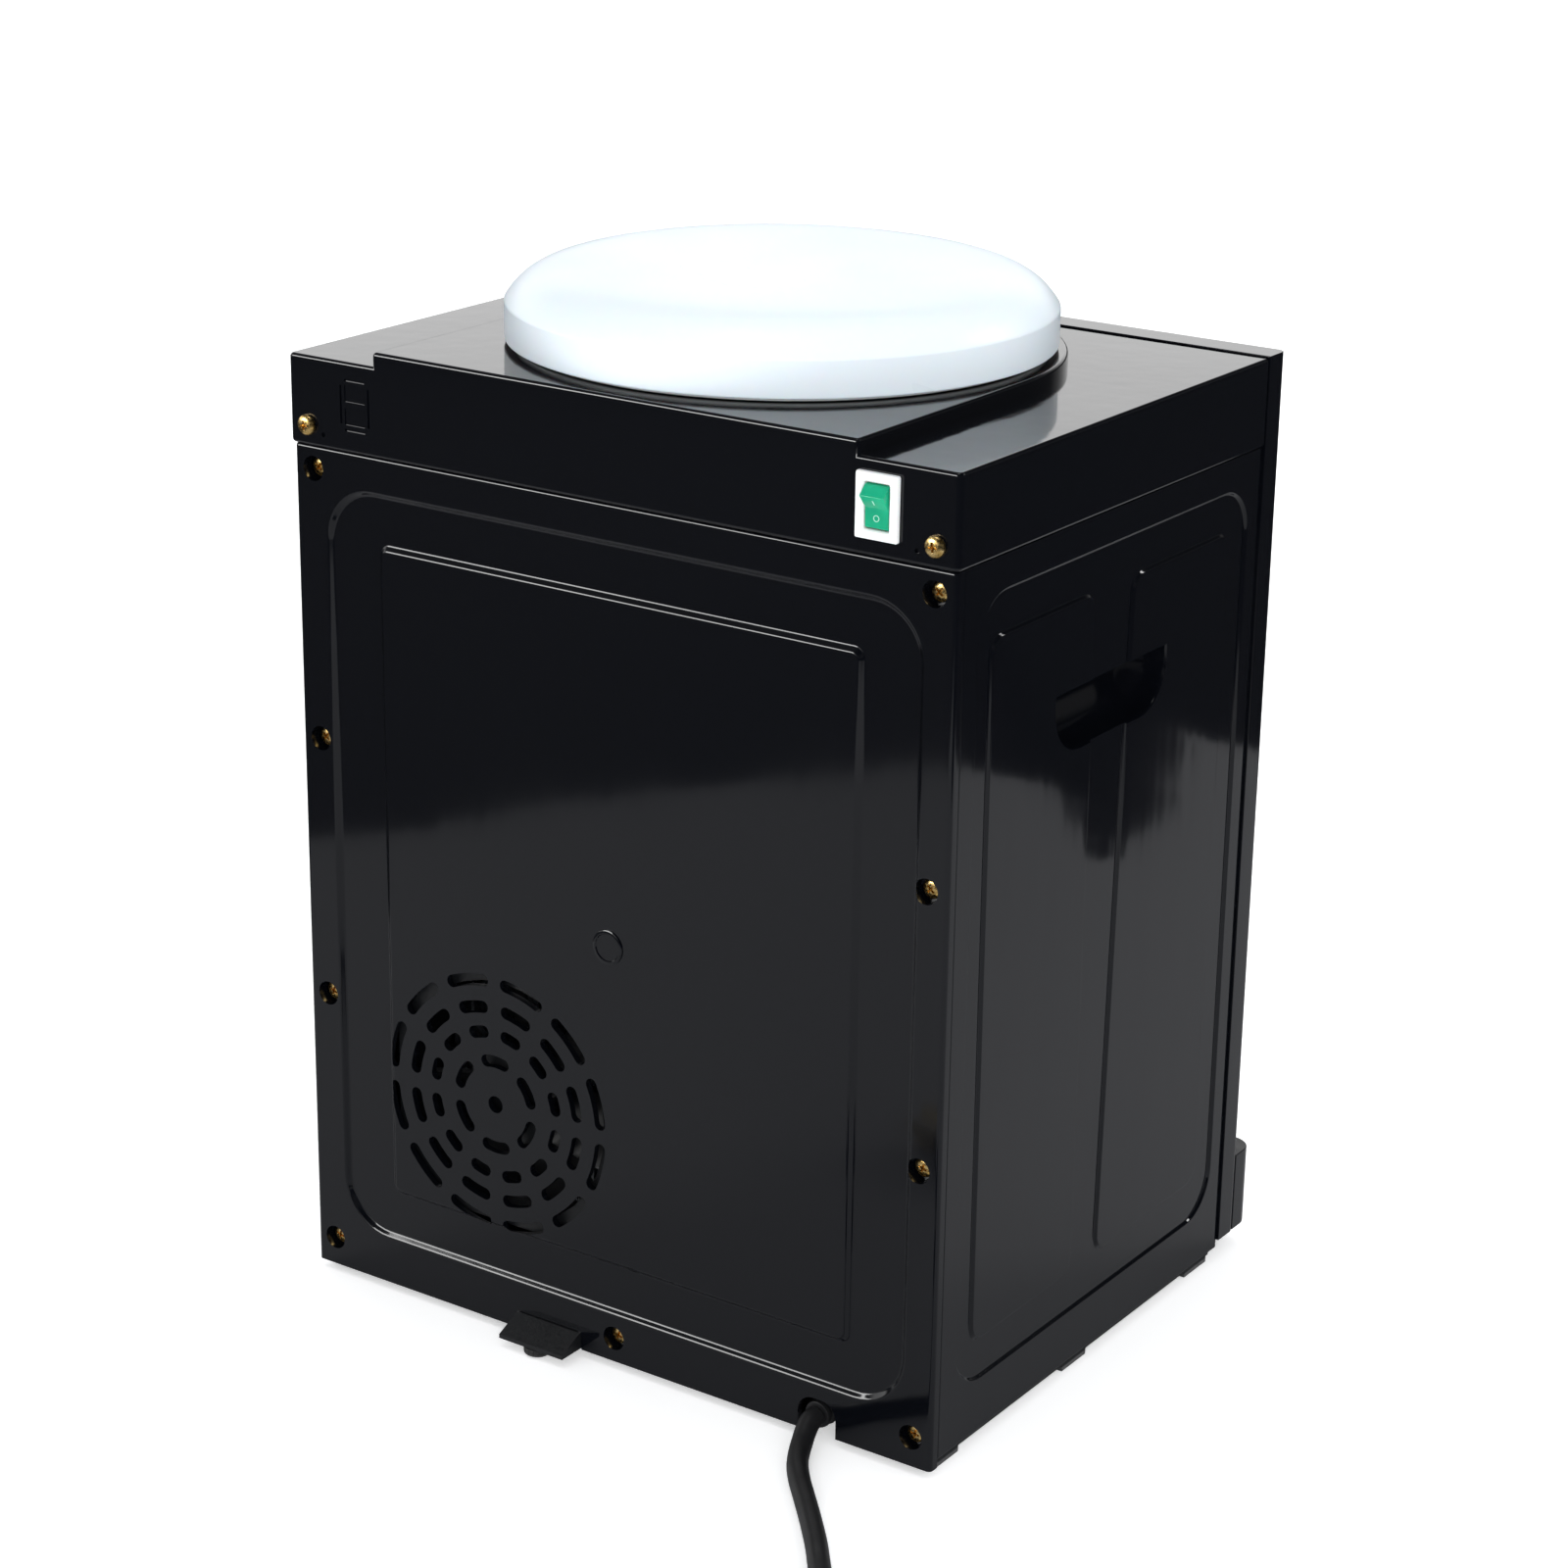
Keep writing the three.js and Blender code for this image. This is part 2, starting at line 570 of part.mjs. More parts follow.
// The cup under the seat, which feeds both water paths.
function inletCup() {
  const [bottom, top] = CUP_Z;
  const wall = 2.2;
  const cup = turned([
    [0, bottom], [CUP_R, bottom], [CUP_R, top], [CUP_R - wall, top], [CUP_R - wall, bottom + wall],
    [0, bottom + wall],
  ], 0, SEAT_Y, 20);
  const spouts = [-CUP_SPOUT_X, CUP_SPOUT_X];
  return carve(
    [cup, ...spouts.map((x) => rodAlongZ(SPOUT_R, [bottom - 12, bottom + 1], x, SEAT_Y, 12))],
    spouts.map((x) => rodAlongZ(SPOUT_BORE_R, [bottom - 13, bottom + wall + 1], x, SEAT_Y, 10)),
  );
}

// ---------------------------------------------------------------- cold tank and cooling stack
function coldTank() {
  const [bottom, top] = TANK_Z;
  const inside = TANK_R - 2;
  return turned([
    [2.5, bottom - 8], [4, bottom - 8], [4, bottom], [TANK_R, bottom], [TANK_R, top], [inside, top],
    [inside, bottom + 2], [2.5, bottom + 2], [2.5, bottom - 8],
  ], VENT_X, TANK_Y, 22);
}

function tankLid() {
  const bottom = TANK_Z[1] + GAP;
  const added = [rodAlongZ(TANK_R + 1, [bottom, bottom + 3], VENT_X, TANK_Y, 28)];
  LID_SPOUTS_X.forEach((x) => added.push(rodAlongZ(SPOUT_R, [bottom + 2, bottom + 13], x, TANK_Y, 12)));
  added.push(rodAlongZ(SPOUT_R, [62, bottom + 1], LID_SPOUTS_X[0], TANK_Y, 12));
  const removed = [
    rodAlongZ(SPOUT_BORE_R, [60, bottom + 14], LID_SPOUTS_X[0], TANK_Y, 10),
    rodAlongZ(SPOUT_BORE_R, [bottom - 1, bottom + 14], LID_SPOUTS_X[1], TANK_Y, 10),
  ];
  return carve(added, removed);
}

function tankInsulation() {
  const [bottom, top] = TANK_Z;
  return carve([box([VENT_X - 43, VENT_X + 43], [BAY_BACK_Y + WALL + 1, 46], [44, top - 0.5])], [
    rodAlongZ(TANK_R + 0.4, [bottom - 0.4, top + 1], VENT_X, TANK_Y, 28),
    rodAlongZ(6, [40, bottom + 1], VENT_X, TANK_Y, 12),
    box(around(VENT_X, 2 * MODULE_HALF + 0.8), [20, 50], around(VENT_Z, 2 * MODULE_HALF + 0.8)),
  ]);
}

function coldBlock() {
  return carve([box(around(VENT_X, 2 * MODULE_HALF), STACK.block, around(VENT_Z, 2 * MODULE_HALF))], [
    rodAlongZ(TANK_R + GAP, [40, 130], VENT_X, TANK_Y, 28),
  ]);
}

function peltierModule() {
  return box(around(VENT_X, 2 * MODULE_HALF), STACK.module, around(VENT_Z, 2 * MODULE_HALF));
}

function heatSink() {
  const count = 12;
  const pitch = 90 / count;
  const points = [[-45, STACK.sinkBase[0]], [45, STACK.sinkBase[0]]];
  for (let index = count - 1; index >= 0; index -= 1) {
    const left = -45 + index * pitch + (pitch - 1.6) / 2;
    points.push([left + 1.6, STACK.sinkBase[1]], [left + 1.6, STACK.sinkFins]);
    points.push([left, STACK.sinkFins], [left, STACK.sinkBase[1]]);
  }
  points.splice(2, 0, [45, STACK.sinkBase[1]]);
  points.push([-45, STACK.sinkBase[1]]);
  return extrudeAlongZ(polygon(points), around(VENT_Z, 90)).translate(VENT_X, 0, 0);
}

function fanFrame() {
  const [front, rear] = STACK.fan;
  const added = [carve(
    [box(around(VENT_X, 2 * FAN_HALF), [front, rear], around(VENT_Z, 2 * FAN_HALF))],
    [rodAlongY(FAN_BORE_R, [front - 1, rear + 1], VENT_X, VENT_Z, 32)],
  )];
  added.push(rodAlongY(17, [front, front + 3], VENT_X, VENT_Z, 20));
  added.push(box(around(VENT_X, 2 * FAN_BORE_R + 2), [front, front + 2.5], around(VENT_Z, 4)));
  added.push(box(around(VENT_X, 4), [front, front + 2.5], around(VENT_Z, 2 * FAN_BORE_R + 2)));
  added.push(rodAlongY(1.5, [front, front + 15], VENT_X, VENT_Z, 10));
  return carve(added);
}

function fanRotor() {
  const [front, rear] = [STACK.fan[0] + 3.6, STACK.fan[1] - 2];
  const blades = [];
  for (let index = 0; index < 7; index += 1) {
    const blade = new THREE.BoxGeometry(1.8, 22, 26);
    blade.rotateZ(0.9).translate(0, 0, 28);
    blade.rotateY((index / 7) * Math.PI * 2).translate(VENT_X, (front + rear) / 2, VENT_Z);
    blades.push(blade);
  }
  const hub = rodAlongY(17, [front, rear], VENT_X, VENT_Z, 20);
  return carve([hub, ...blades], [rodAlongY(1.9, [front - 1, rear - 4], VENT_X, VENT_Z, 10)]);
}

// ---------------------------------------------------------------- electrics
function powerBoard() {
  const top = BOARD_Z + 1.6;
  return carve([
    box(BOARD_X, BOARD_Y, [BOARD_Z, top]),
    rodAlongZ(9, [top - 0.2, 45], -98, 14, 16),
    rodAlongZ(6, [top - 0.2, 36], -44, 54, 14),
    box([-108, -84], [36, 60], [top - 0.2, 33]),
    box([-40, -31], [8, 44], [top - 0.2, 44]),
    box([-76, -56], [54, 63], [top - 0.2, 29]),
  ]);
}

function transformer() {
  const bottom = BOARD_Z + 1.6 + GAP;
  return carve([
    box([-79, -47], [12, 46], [bottom, bottom + 4]),
    box([-75, -51], [12, 46], [bottom + 3, bottom + 27]),
    box([-80, -46], [17, 41], [bottom + 6, bottom + 23]),
  ]);
}

function switchHousing() {
  const face = [COVER_REAR_Y + GAP, COVER_REAR_Y + 2];
  return carve([
    box(around(SWITCH_X, SWITCH_FLANGE[0]), face, around(SWITCH_Z, SWITCH_FLANGE[1])),
    box(around(SWITCH_X, 12.3), [86, COVER_REAR_Y + 1], around(SWITCH_Z, 18)),
    box(around(SWITCH_X - 3, 0.8), [79, 87], around(SWITCH_Z, 4)),
    box(around(SWITCH_X + 3, 0.8), [79, 87], around(SWITCH_Z, 4)),
  ], [
    box(around(SWITCH_X, ROCKER_OPENING[0]), [93, COVER_REAR_Y + 3], around(SWITCH_Z, ROCKER_OPENING[1])),
  ]);
}

// A flat lower face, and an upper one that rises to a crest, between ends that are round about the pivot.
function switchRocker() {
  const width = ROCKER_OPENING[0] - 0.7;
  const upper = THREE.MathUtils.degToRad(70.6);
  const lower = THREE.MathUtils.degToRad(-75.9);
  const back = THREE.MathUtils.degToRad(120);
  const outline = new THREE.Shape();
  outline.moveTo(1.9, -0.5);
  outline.lineTo(5.3, 3.6);
  outline.absarc(0, 0, ROCKER_R, upper, back, false);
  outline.absarc(0, 0, ROCKER_R, -back, lower, false);
  const rocker = extrudeAlongX(outline, around(SWITCH_X, width), 5);
  return rocker.translate(0, ROCKER_PIVOT_Y, SWITCH_Z);
}

function lamp(x) {
  return turnedAlongY([
    [0, FRONT_Y - 1.6], [LAMP_R - 0.9, FRONT_Y - 1.2], [LAMP_R, FRONT_Y], [LAMP_R, FRONT_Y + 6],
    [0, FRONT_Y + 6],
  ], x, LAMP_Z, 14);
}

// ---------------------------------------------------------------- taps, hoses and drain
function tapBody(x) {
  return carve([
    rodAlongY(12, [BAY_BACK_Y - 4, BAY_BACK_Y - GAP], x, TAP_Z, 14),
    rodAlongY(9, [TAP_SPOUT_Y - 7, BAY_BACK_Y - 3], x, TAP_Z, 14),
    rodAlongY(7, [BAY_BACK_Y - 3, -28], x, TAP_Z, 12),
    rodAlongZ(8, [TAP_Z - 12, TAP_Z + 12], x, TAP_SPOUT_Y, 12),
    rodAlongZ(6, [168, TAP_Z], x, TAP_SPOUT_Y, 10),
    box([x - 8.6, x - 6.6], [TAP_SPOUT_Y - 4, TAP_SPOUT_Y + 4], [TAP_Z, LEVER_Z + 3.4]),
    box([x + 6.6, x + 8.6], [TAP_SPOUT_Y - 4, TAP_SPOUT_Y + 4], [TAP_Z, LEVER_Z + 3.4]),
  ], [
    rodAlongZ(4, [167, 182], x, TAP_SPOUT_Y, 8),
    rodAlongY(4, [-60, -27], x, TAP_Z, 8),
    rodAlongX(1.8, [x - 9, x + 9], TAP_SPOUT_Y, LEVER_Z, 8),
  ]);
}

function tapLever(x) {
  const blade = polygon([
    [TAP_SPOUT_Y + 4, LEVER_Z - 1.2], [TAP_SPOUT_Y + 4, LEVER_Z + 2.4], [-84, LEVER_Z + 4.4],
    [-97.5, LEVER_Z + 3], [-97.5, LEVER_Z + 0.6], [-84, LEVER_Z + 0.8], [TAP_SPOUT_Y - 3, LEVER_Z - 1.2],
  ].reverse());
  return carve([
    extrudeAlongX(blade, [x - 6.2, x + 6.2]),
    extrudeAlongX(polygon([
      [-82, LEVER_Z + 0.9], [-82, LEVER_Z + 4.1], [-84, LEVER_Z + 4.4],
      [-97.5, LEVER_Z + 3], [-97.5, LEVER_Z + 0.6],
    ].reverse()), [x - 11, x + 11]),
    rodAlongX(1.4, [x - 8.6, x + 8.6], TAP_SPOUT_Y, LEVER_Z, 10),
  ]);
}

function tapNut(x) {
  return carve(
    [rodAlongY(11, [BAY_BACK_Y + WALL + GAP, -33.5], x, TAP_Z, 6)],
    [rodAlongY(7.3, [-45, -30], x, TAP_Z, 16)],
  );
}

// A soft hose whose ends sit flush against the spouts that they join.
function hose(points, steps) {
  return carve([tube(points, HOSE_R, steps, 7)], [
    tube(extended(points), HOSE_BORE_R, steps, 5),
  ]);
}

// The same route with each end moved a little further out.
function extended(points) {
  const route = points.map((point) => new THREE.Vector3(...point));
  const first = route[0].clone().addScaledVector(route[0].clone().sub(route[1]).normalize(), 1);
  const last = route.at(-1).clone().addScaledVector(route.at(-1).clone().sub(route.at(-2)).normalize(), 1);
  return [first, ...route.slice(1, -1), last].map((point) => point.toArray());
}

function coldFeedHose() {
  return hose([
    [CUP_SPOUT_X, SEAT_Y, 225.6], [CUP_SPOUT_X, SEAT_Y, 216], [40, 5, 201], [60, 2, 195],
    [LID_SPOUTS_X[1], TANK_Y, 186],
    [LID_SPOUTS_X[1], TANK_Y, 178.8],
  ], 11);
}

function coldTapHose() {
  return hose([
    [LID_SPOUTS_X[0], TANK_Y, 178.8], [LID_SPOUTS_X[0], TANK_Y, 186], [37, -9, 194.6],
    [TAP_X, -18, TAP_Z], [TAP_X, -27.6, TAP_Z],
  ], 9);
}

function roomTapHose() {
  return hose([
    [-CUP_SPOUT_X, SEAT_Y, 225.6], [-CUP_SPOUT_X, SEAT_Y, 216], [-31, 1, 200], [-TAP_X, -15, TAP_Z],
    [-TAP_X, -27.6, TAP_Z],
  ], 9);
}

function drainHose() {
  return hose([
    [VENT_X, TANK_Y, 41.6], [VENT_X, TANK_Y, 33], [48, 18, 16], [38, 50, DRAIN_PIPE_Z],
    [DRAIN_X, 78, DRAIN_PIPE_Z], [DRAIN_X, 88.6, DRAIN_PIPE_Z],
  ], 12);
}

// The pipe behind the flap: hose spout, level run and a short way down to the turning cock.
function drainPipe() {
  return carve([
    rodAlongY(SPOUT_R, [89, 94], DRAIN_X, DRAIN_PIPE_Z, 12),
    box(around(DRAIN_X, 12), [93, 97], [6, DRAIN_PIPE_Z + 5]),
  ], [rodAlongY(SPOUT_BORE_R, [88, 96], DRAIN_X, DRAIN_PIPE_Z, 10)]);
}

function drainKnob() {
  return turned([
    [0, 0.5], [4.2, 0.5], [DRAIN_KNOB_R, 1], [DRAIN_KNOB_R, 3.1], [2.8, 3.1], [2.8, 4.6], [0, 4.6],
  ], DRAIN_X, DRAIN_Y, 20);
}

// ---------------------------------------------------------------- drip tray
function dripTray() {
  const lipRear = FRONT_Y - 0.5;
  const basinY = [TRAY_FRONT_Y + WALL, -46.2];
  const lip = roundedRectangle([-TRAY_HALF_WIDTH, TRAY_HALF_WIDTH], [TRAY_FRONT_Y, lipRear],
    [TRAY_CORNER_R, TRAY_CORNER_R, 0, 0]);
  const added = [
    extrudeAlongZ(lip, TRAY_Z, 4),
    box([-94, 94], [lipRear - 1, -44], [FRONT_BOTTOM_Z + WALL + 0.6, TRAY_Z[1] - 0.5]),
  ];
  const removed = [
    box([-91.5, 91.5], basinY, [32, 40]),
    box([-91.5, 91.5], [basinY[0] + 2, basinY[1] - 2], [14, 33]),
    box([97, 127.4], [TRAY_FRONT_Y + WALL + 1, lipRear + 1], [10.5, TRAY_Z[1] - WALL]),
    box([-127.4, -97], [TRAY_FRONT_Y + WALL + 1, lipRear + 1], [10.5, TRAY_Z[1] - WALL]),
  ];
  return carve(added, removed);
}

function dripGrate() {
  const y = [TRAY_FRONT_Y + WALL + 0.4, -46.6];
  const slots = [];
  for (let index = -9; index <= 9; index += 1) {
    slots.push(box(around(index * 9, 4.6), [y[0] + 7, y[1] - 7], [30, 40]));
  }
  return carve([box([-91.1, 91.1], y, [32.3, 35.8])], slots);
}

// ---------------------------------------------------------------- fasteners
function panScrew(x, z, seatY, length) {
  return turnedAlongY([
    [0, seatY - length], [SCREW_SHAFT_R, seatY - length + 2], [SCREW_SHAFT_R, seatY],
    [SCREW_HEAD_R, seatY], [SCREW_HEAD_R, seatY + 1.1], [0, seatY + 2.1],
  ], x, z, 10);
}

// ---------------------------------------------------------------- mains lead
function strainRelief() {
  const [x, , z] = CORD_ROUTE[0];
  return turnedAlongY([
    [0, 78], [7, 78], [7, 81], [5.6, 81], [5.6, 83.5], [6.2, 83.5], [4.6, CORD_EXIT_Y], [0, CORD_EXIT_Y],
  ], x, z, 14);
}

function coilCentre() {
  const last = CORD_ROUTE.at(-1);
  const tangent = new THREE.Vector2(last[0], last[1]).addScaledVector(HEADING, LEAD_IN);
  return tangent.addScaledVector(new THREE.Vector2(HEADING.y, -HEADING.x), COIL_TRACK_R);
}

function cordTube() {
  const last = CORD_ROUTE.at(-1);
  const along = [LEAD_IN * 0.35, LEAD_IN - RING_CLEARANCE];
  const extra = along.map((reach) => [last[0] + HEADING.x * reach, last[1] + HEADING.y * reach, last[2]]);
  return tube([...CORD_ROUTE, ...extra], CORD_R, 26, 10);
}

function cordCoil() {
  const centre = coilCentre();
  const inner = COIL_TRACK_R - COIL_PITCH - CORD_R;
  const outer = COIL_TRACK_R + CORD_R;
  const top = (COIL_LAYERS - 1) * COIL_PITCH + 2 * CORD_R + 0.1;
  const section = [[inner, 0.05], [outer, 0.05], [outer, top], [inner, top], [inner, 0.05]];
  return turned(section, centre.x, centre.y, 32);
}

// The tail leaves the top of the coil along +X, comes down beside it and rises into the plug.
function tailPoint(reach) {
  const centre = coilCentre();
  const upper = CORD_ROUTE.at(-1)[2] + (COIL_LAYERS - 1) * COIL_PITCH;
  const down = THREE.MathUtils.smootherstep(reach, 8, 66);
  const up = THREE.MathUtils.smootherstep(reach, 66, TAIL_LENGTH);
  const z = upper - down * (upper - CORD_ROUTE.at(-1)[2]) + up * (PLUG_Z - CORD_ROUTE.at(-1)[2]);
  return [centre.x + reach, centre.y + COIL_TRACK_R, z];
}

function cordTail() {
  const points = [];
  for (let index = 0; index <= 9; index += 1) {
    points.push(tailPoint(RING_CLEARANCE + ((TAIL_LENGTH - RING_CLEARANCE) * index) / 9));
  }
  return tube(points, CORD_R, 12, 10);
}

// A flat rewirable-looking plug with an earth blade and two slanted blades, lying on its back.
function plug() {
  const [x, y, z] = tailPoint(TAIL_LENGTH);
  const start = x + GAP;
  const outline = polygon([
    [start + 18, y - 7], [start + 34, y - 17], [start + 52, y - 17], [start + 52, y + 17],
    [start + 34, y + 17], [start + 18, y + 7],
  ]);
  const neck = new THREE.CylinderGeometry(4.6, 6.4, 20, 12);
  neck.rotateZ(Math.PI / 2).translate(start + 10, y, z);
  const blades = [[-8, 0.5], [8, -0.5]].map(([offset, slant]) => {
    const blade = new THREE.BoxGeometry(18, 1.6, 6.4);
    return blade.rotateX(slant).translate(start + 60, y + offset, z + 3);
  });
  return carve([
    extrudeAlongZ(outline, [0.3, 2 * z - 0.3]),
    neck,
    ...blades,
    box([start + 51, start + 71], around(y, 1.6), around(z - 5, 6.4)),
  ]);
}

// ---------------------------------------------------------------- assembly
place('rear_panel', rearPanel(), glossBlack);
place('left_side_panel', sidePanel(-1), glossBlack);
place('right_side_panel', sidePanel(1), glossBlack);
place('front_panel', frontPanel(), glossBlack);
place('top_cover', topCover(), glossBlack);
place('base_plate', basePlate(), matteBlack);
place('dust_cover', dustCover(), coverWhite);
place('bottle_seat', bottleSeat(), seatWhite);
place('neck_socket', neckSocket(), seatWhite);
place('bottle_probe', bottleProbe(), seatWhite);
place('inlet_cup', inletCup(), seatWhite);
place('cold_tank', coldTank(), seatWhite);
place('tank_lid', tankLid(), seatWhite);
place('tank_insulation', tankInsulation(), foamWhite);
place('cold_block', coldBlock(), aluminium);
place('peltier_module', peltierModule(), ceramicWhite);
place('heat_sink', heatSink(), aluminium);
place('fan_frame', fanFrame(), matteBlack);
place('fan_rotor', fanRotor(), matteBlack);
place('power_board', powerBoard(), boardGreen);
place('transformer', transformer(), steel);
place('cold_tap_body', tapBody(TAP_X), matteBlack);
place('cold_tap_lever', tapLever(TAP_X), coldBlue);
place('cold_tap_nut', tapNut(TAP_X), seatWhite);
place('room_tap_body', tapBody(-TAP_X), matteBlack);
place('room_tap_lever', tapLever(-TAP_X), roomWhite);
place('room_tap_nut', tapNut(-TAP_X), seatWhite);
place('cold_feed_hose', coldFeedHose(), siliconeClear);
place('cold_tap_hose', coldTapHose(), siliconeClear);
place('room_tap_hose', roomTapHose(), siliconeClear);
place('drain_hose', drainHose(), siliconeClear);
place('drain_pipe', drainPipe(), matteBlack);
place('drain_knob', drainKnob(), matteBlack);
place('drip_tray', dripTray(), glossBlack);
place('drip_grate', dripGrate(), matteBlack);
place('switch_housing', switchHousing(), bezelWhite);
place('switch_rocker', switchRocker(), switchGreen);
place('power_lamp', lamp(-LAMP_X), lampRed);
place('cooling_lamp', lamp(LAMP_X), lampGreen);
place('strain_relief', strainRelief(), cordBlack);
place('cord_tube', cordTube(), cordBlack);
place('cord_coil', cordCoil(), cordBlack);
place('cord_tail', cordTail(), cordBlack);
place('plug', plug(), cordBlack);
rearScrewPlaces().forEach(([x, z], index) => {
  place(`rear_screw_${index + 1}`, panScrew(x, z, REAR_Y - SCREW_WELL_DEPTH + GAP, 12), goldZinc);
});
[-COVER_SCREW_X, COVER_SCREW_X].forEach((x, index) => {
  place(`cover_screw_${index + 1}`, panScrew(x, COVER_SCREW_Z, COVER_REAR_Y + GAP, 12), goldZinc);
});

export default cooler;
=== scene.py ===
"""The looks of a countertop bottled-water cooler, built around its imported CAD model.

Outlines and shapes are worked out in millimetres, and each mesh is scaled to metres as it is finished.
The user stands at -Y, the rear faces +Y, and +Z is up.
"""
import math
import random

import bmesh
import bpy
from mathutils import Matrix, Vector


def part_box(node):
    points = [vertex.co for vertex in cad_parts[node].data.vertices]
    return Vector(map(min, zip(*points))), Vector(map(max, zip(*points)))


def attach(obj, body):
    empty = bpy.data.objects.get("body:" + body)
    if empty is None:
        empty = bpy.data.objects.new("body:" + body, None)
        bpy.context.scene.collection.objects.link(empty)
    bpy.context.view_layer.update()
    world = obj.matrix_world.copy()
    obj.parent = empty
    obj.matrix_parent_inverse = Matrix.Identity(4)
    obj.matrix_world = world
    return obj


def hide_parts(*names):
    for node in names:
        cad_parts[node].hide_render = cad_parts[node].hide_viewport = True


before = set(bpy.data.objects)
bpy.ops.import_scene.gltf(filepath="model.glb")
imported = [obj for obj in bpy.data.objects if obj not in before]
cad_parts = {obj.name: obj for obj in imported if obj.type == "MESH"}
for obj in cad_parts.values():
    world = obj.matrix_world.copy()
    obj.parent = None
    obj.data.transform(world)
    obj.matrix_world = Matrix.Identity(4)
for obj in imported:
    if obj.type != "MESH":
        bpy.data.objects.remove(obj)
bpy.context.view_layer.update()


def node_box(node):
    """A node's lowest and highest corner, in millimetres."""
    low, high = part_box(node)
    return Vector(low) * 1000, Vector(high) * 1000


# ---------------------------------------------------------------- sizes from the frame, in millimetres
REAR_LOW, REAR_HIGH = node_box("rear_panel")
SIDE_LOW, SIDE_HIGH = node_box("right_side_panel")
COVER_LOW, COVER_HIGH = node_box("top_cover")
FRONT_LOW, FRONT_HIGH = node_box("front_panel")
DUST_LOW, DUST_HIGH = node_box("dust_cover")
SEAT_LOW, SEAT_HIGH = node_box("bottle_seat")
SOCKET_LOW, SOCKET_HIGH = node_box("neck_socket")
PROBE_FOOT_Z = node_box("bottle_probe")[0].z
TRAY_LOW, TRAY_HIGH = node_box("drip_tray")
GRATE_LOW, GRATE_HIGH = node_box("drip_grate")
BEZEL_LOW, BEZEL_HIGH = node_box("switch_housing")
RELIEF_LOW, RELIEF_HIGH = node_box("strain_relief")
KNOB_LOW, KNOB_HIGH = node_box("drain_knob")
PLUG_LOW, PLUG_HIGH = node_box("plug")

SIDE_X = SIDE_HIGH.x
REAR_Y = REAR_HIGH.y
SEAT_Y = (DUST_LOW.y + DUST_HIGH.y) / 2
BEZEL_X = (BEZEL_LOW.x + BEZEL_HIGH.x) / 2
BEZEL_Z = (BEZEL_LOW.z + BEZEL_HIGH.z) / 2
BODY_TOP_Z = REAR_HIGH.z
COVER_TOP_Z = 335.6
PLATFORM_TOP_Z = COVER_HIGH.z
WALL = 2.5
REAR_SEAM_Y = 99.8
SIDE_SEAM_Y = 99.5
FRONT_SEAM_Y = -89.9
TOP_EDGE_R = 1.1
COVER_EDGE_R = 1.3
PLATFORM_R = 95
OPENING_R = 78
CREASE_Z = 354.6
DIMPLE = (116.6, 309.8)
BOSS = (-0.3, 154.7)
RAIL_X = (117, 126.1)
DRAIN_NOTCH_X = (11.5, 39.5)
LEAD_NOTCH_X = (-93.5, -78.5)

# shallow relief moulded into the rear and side panels
RELIEF_DEPTH = 1.5
RELIEF_RAMP = 2.7
REAR_RECESS = {"u": (-120, 117.5), "v": (20.2, 293.4), "radius": 20}
REAR_PLATEAU = {"u": (-98, 95.7), "v": (38.2, 275.8), "radius": 4.5}
SIDE_RECESS = {"u": (-82, 91), "v": (24.6, 294.2), "radius": 17}
SIDE_RELIEF = {"depth": 1.0, "ramp": 1.3}
SIDE_REAR_PAD = ((16.5, 39.3), (81.3, 38.8), (82.9, 280.2), (18.8, 280.2))
SIDE_FRONT_PAD = ((-70.5, 40), (1.2, 39.5), (-4.5, 280.2), (-70, 280.4))

# screws
SCREW_X = 122.5
SCREW_ROWS = (13.4, 108.1, 202.3, 297.2)
FOOT_SCREW = (-2.4, 11.7)
COVER_SCREW = (123.3, 312.3)
HEAD_R = 3.5
HEAD_HEIGHT = 2.1
SCREW_SEAT_Y = node_box("rear_screw_1")[1].y - HEAD_HEIGHT
COVER_SCREW_SEAT_Y = node_box("cover_screw_1")[1].y - HEAD_HEIGHT

# vent
VENT = (48, 85.3)
SLOT_WIDTH = 4.4
VENT_RINGS = ((15.9, 6, 43, 90), (26.3, 12, 19, 15), (35.3, 12, 21, 15), (45, 12, 23.5, 15))

# grip
GRIP_Y = (-28.4, 42.4)
GRIP_Z = (229.8, 250.3)
GRIP_CORNER = 16
GRIP_DEPTH = 15.8

# taps
TAP_X = 38
TAP_Z = 195
LEVER_Z = 215
SPOUT_Y = -70

# mains lead, whose route repeats the CAD model's
CORD_R = 3.65
COIL_R = 40.4
COIL_PITCH = 7.8
LEAD_IN = 100
TAIL_LENGTH = 104
PLUG_Z = 10.2
FLOOR_Z = 3.7
HEADING = Vector((-0.628, 0.778)).normalized()
CORD_ROUTE = [
    (-85.0, 103.0, 8.6), (-85.1, 105.8, 8.2), (-86.0, 110.0, 6.7), (-87.6, 114.4, 5.1), (-89.8, 119.4, 4.1),
    (-92.9, 124.9, 3.75), (-98.8, 132.6, 3.7), (-105.8, 140.3, 3.7), (-112.8, 147.9, 3.7),
    (-119.6, 155.5, 3.7), (-126.4, 163.4, 3.7), (-133.2, 172.0, 3.7),
]


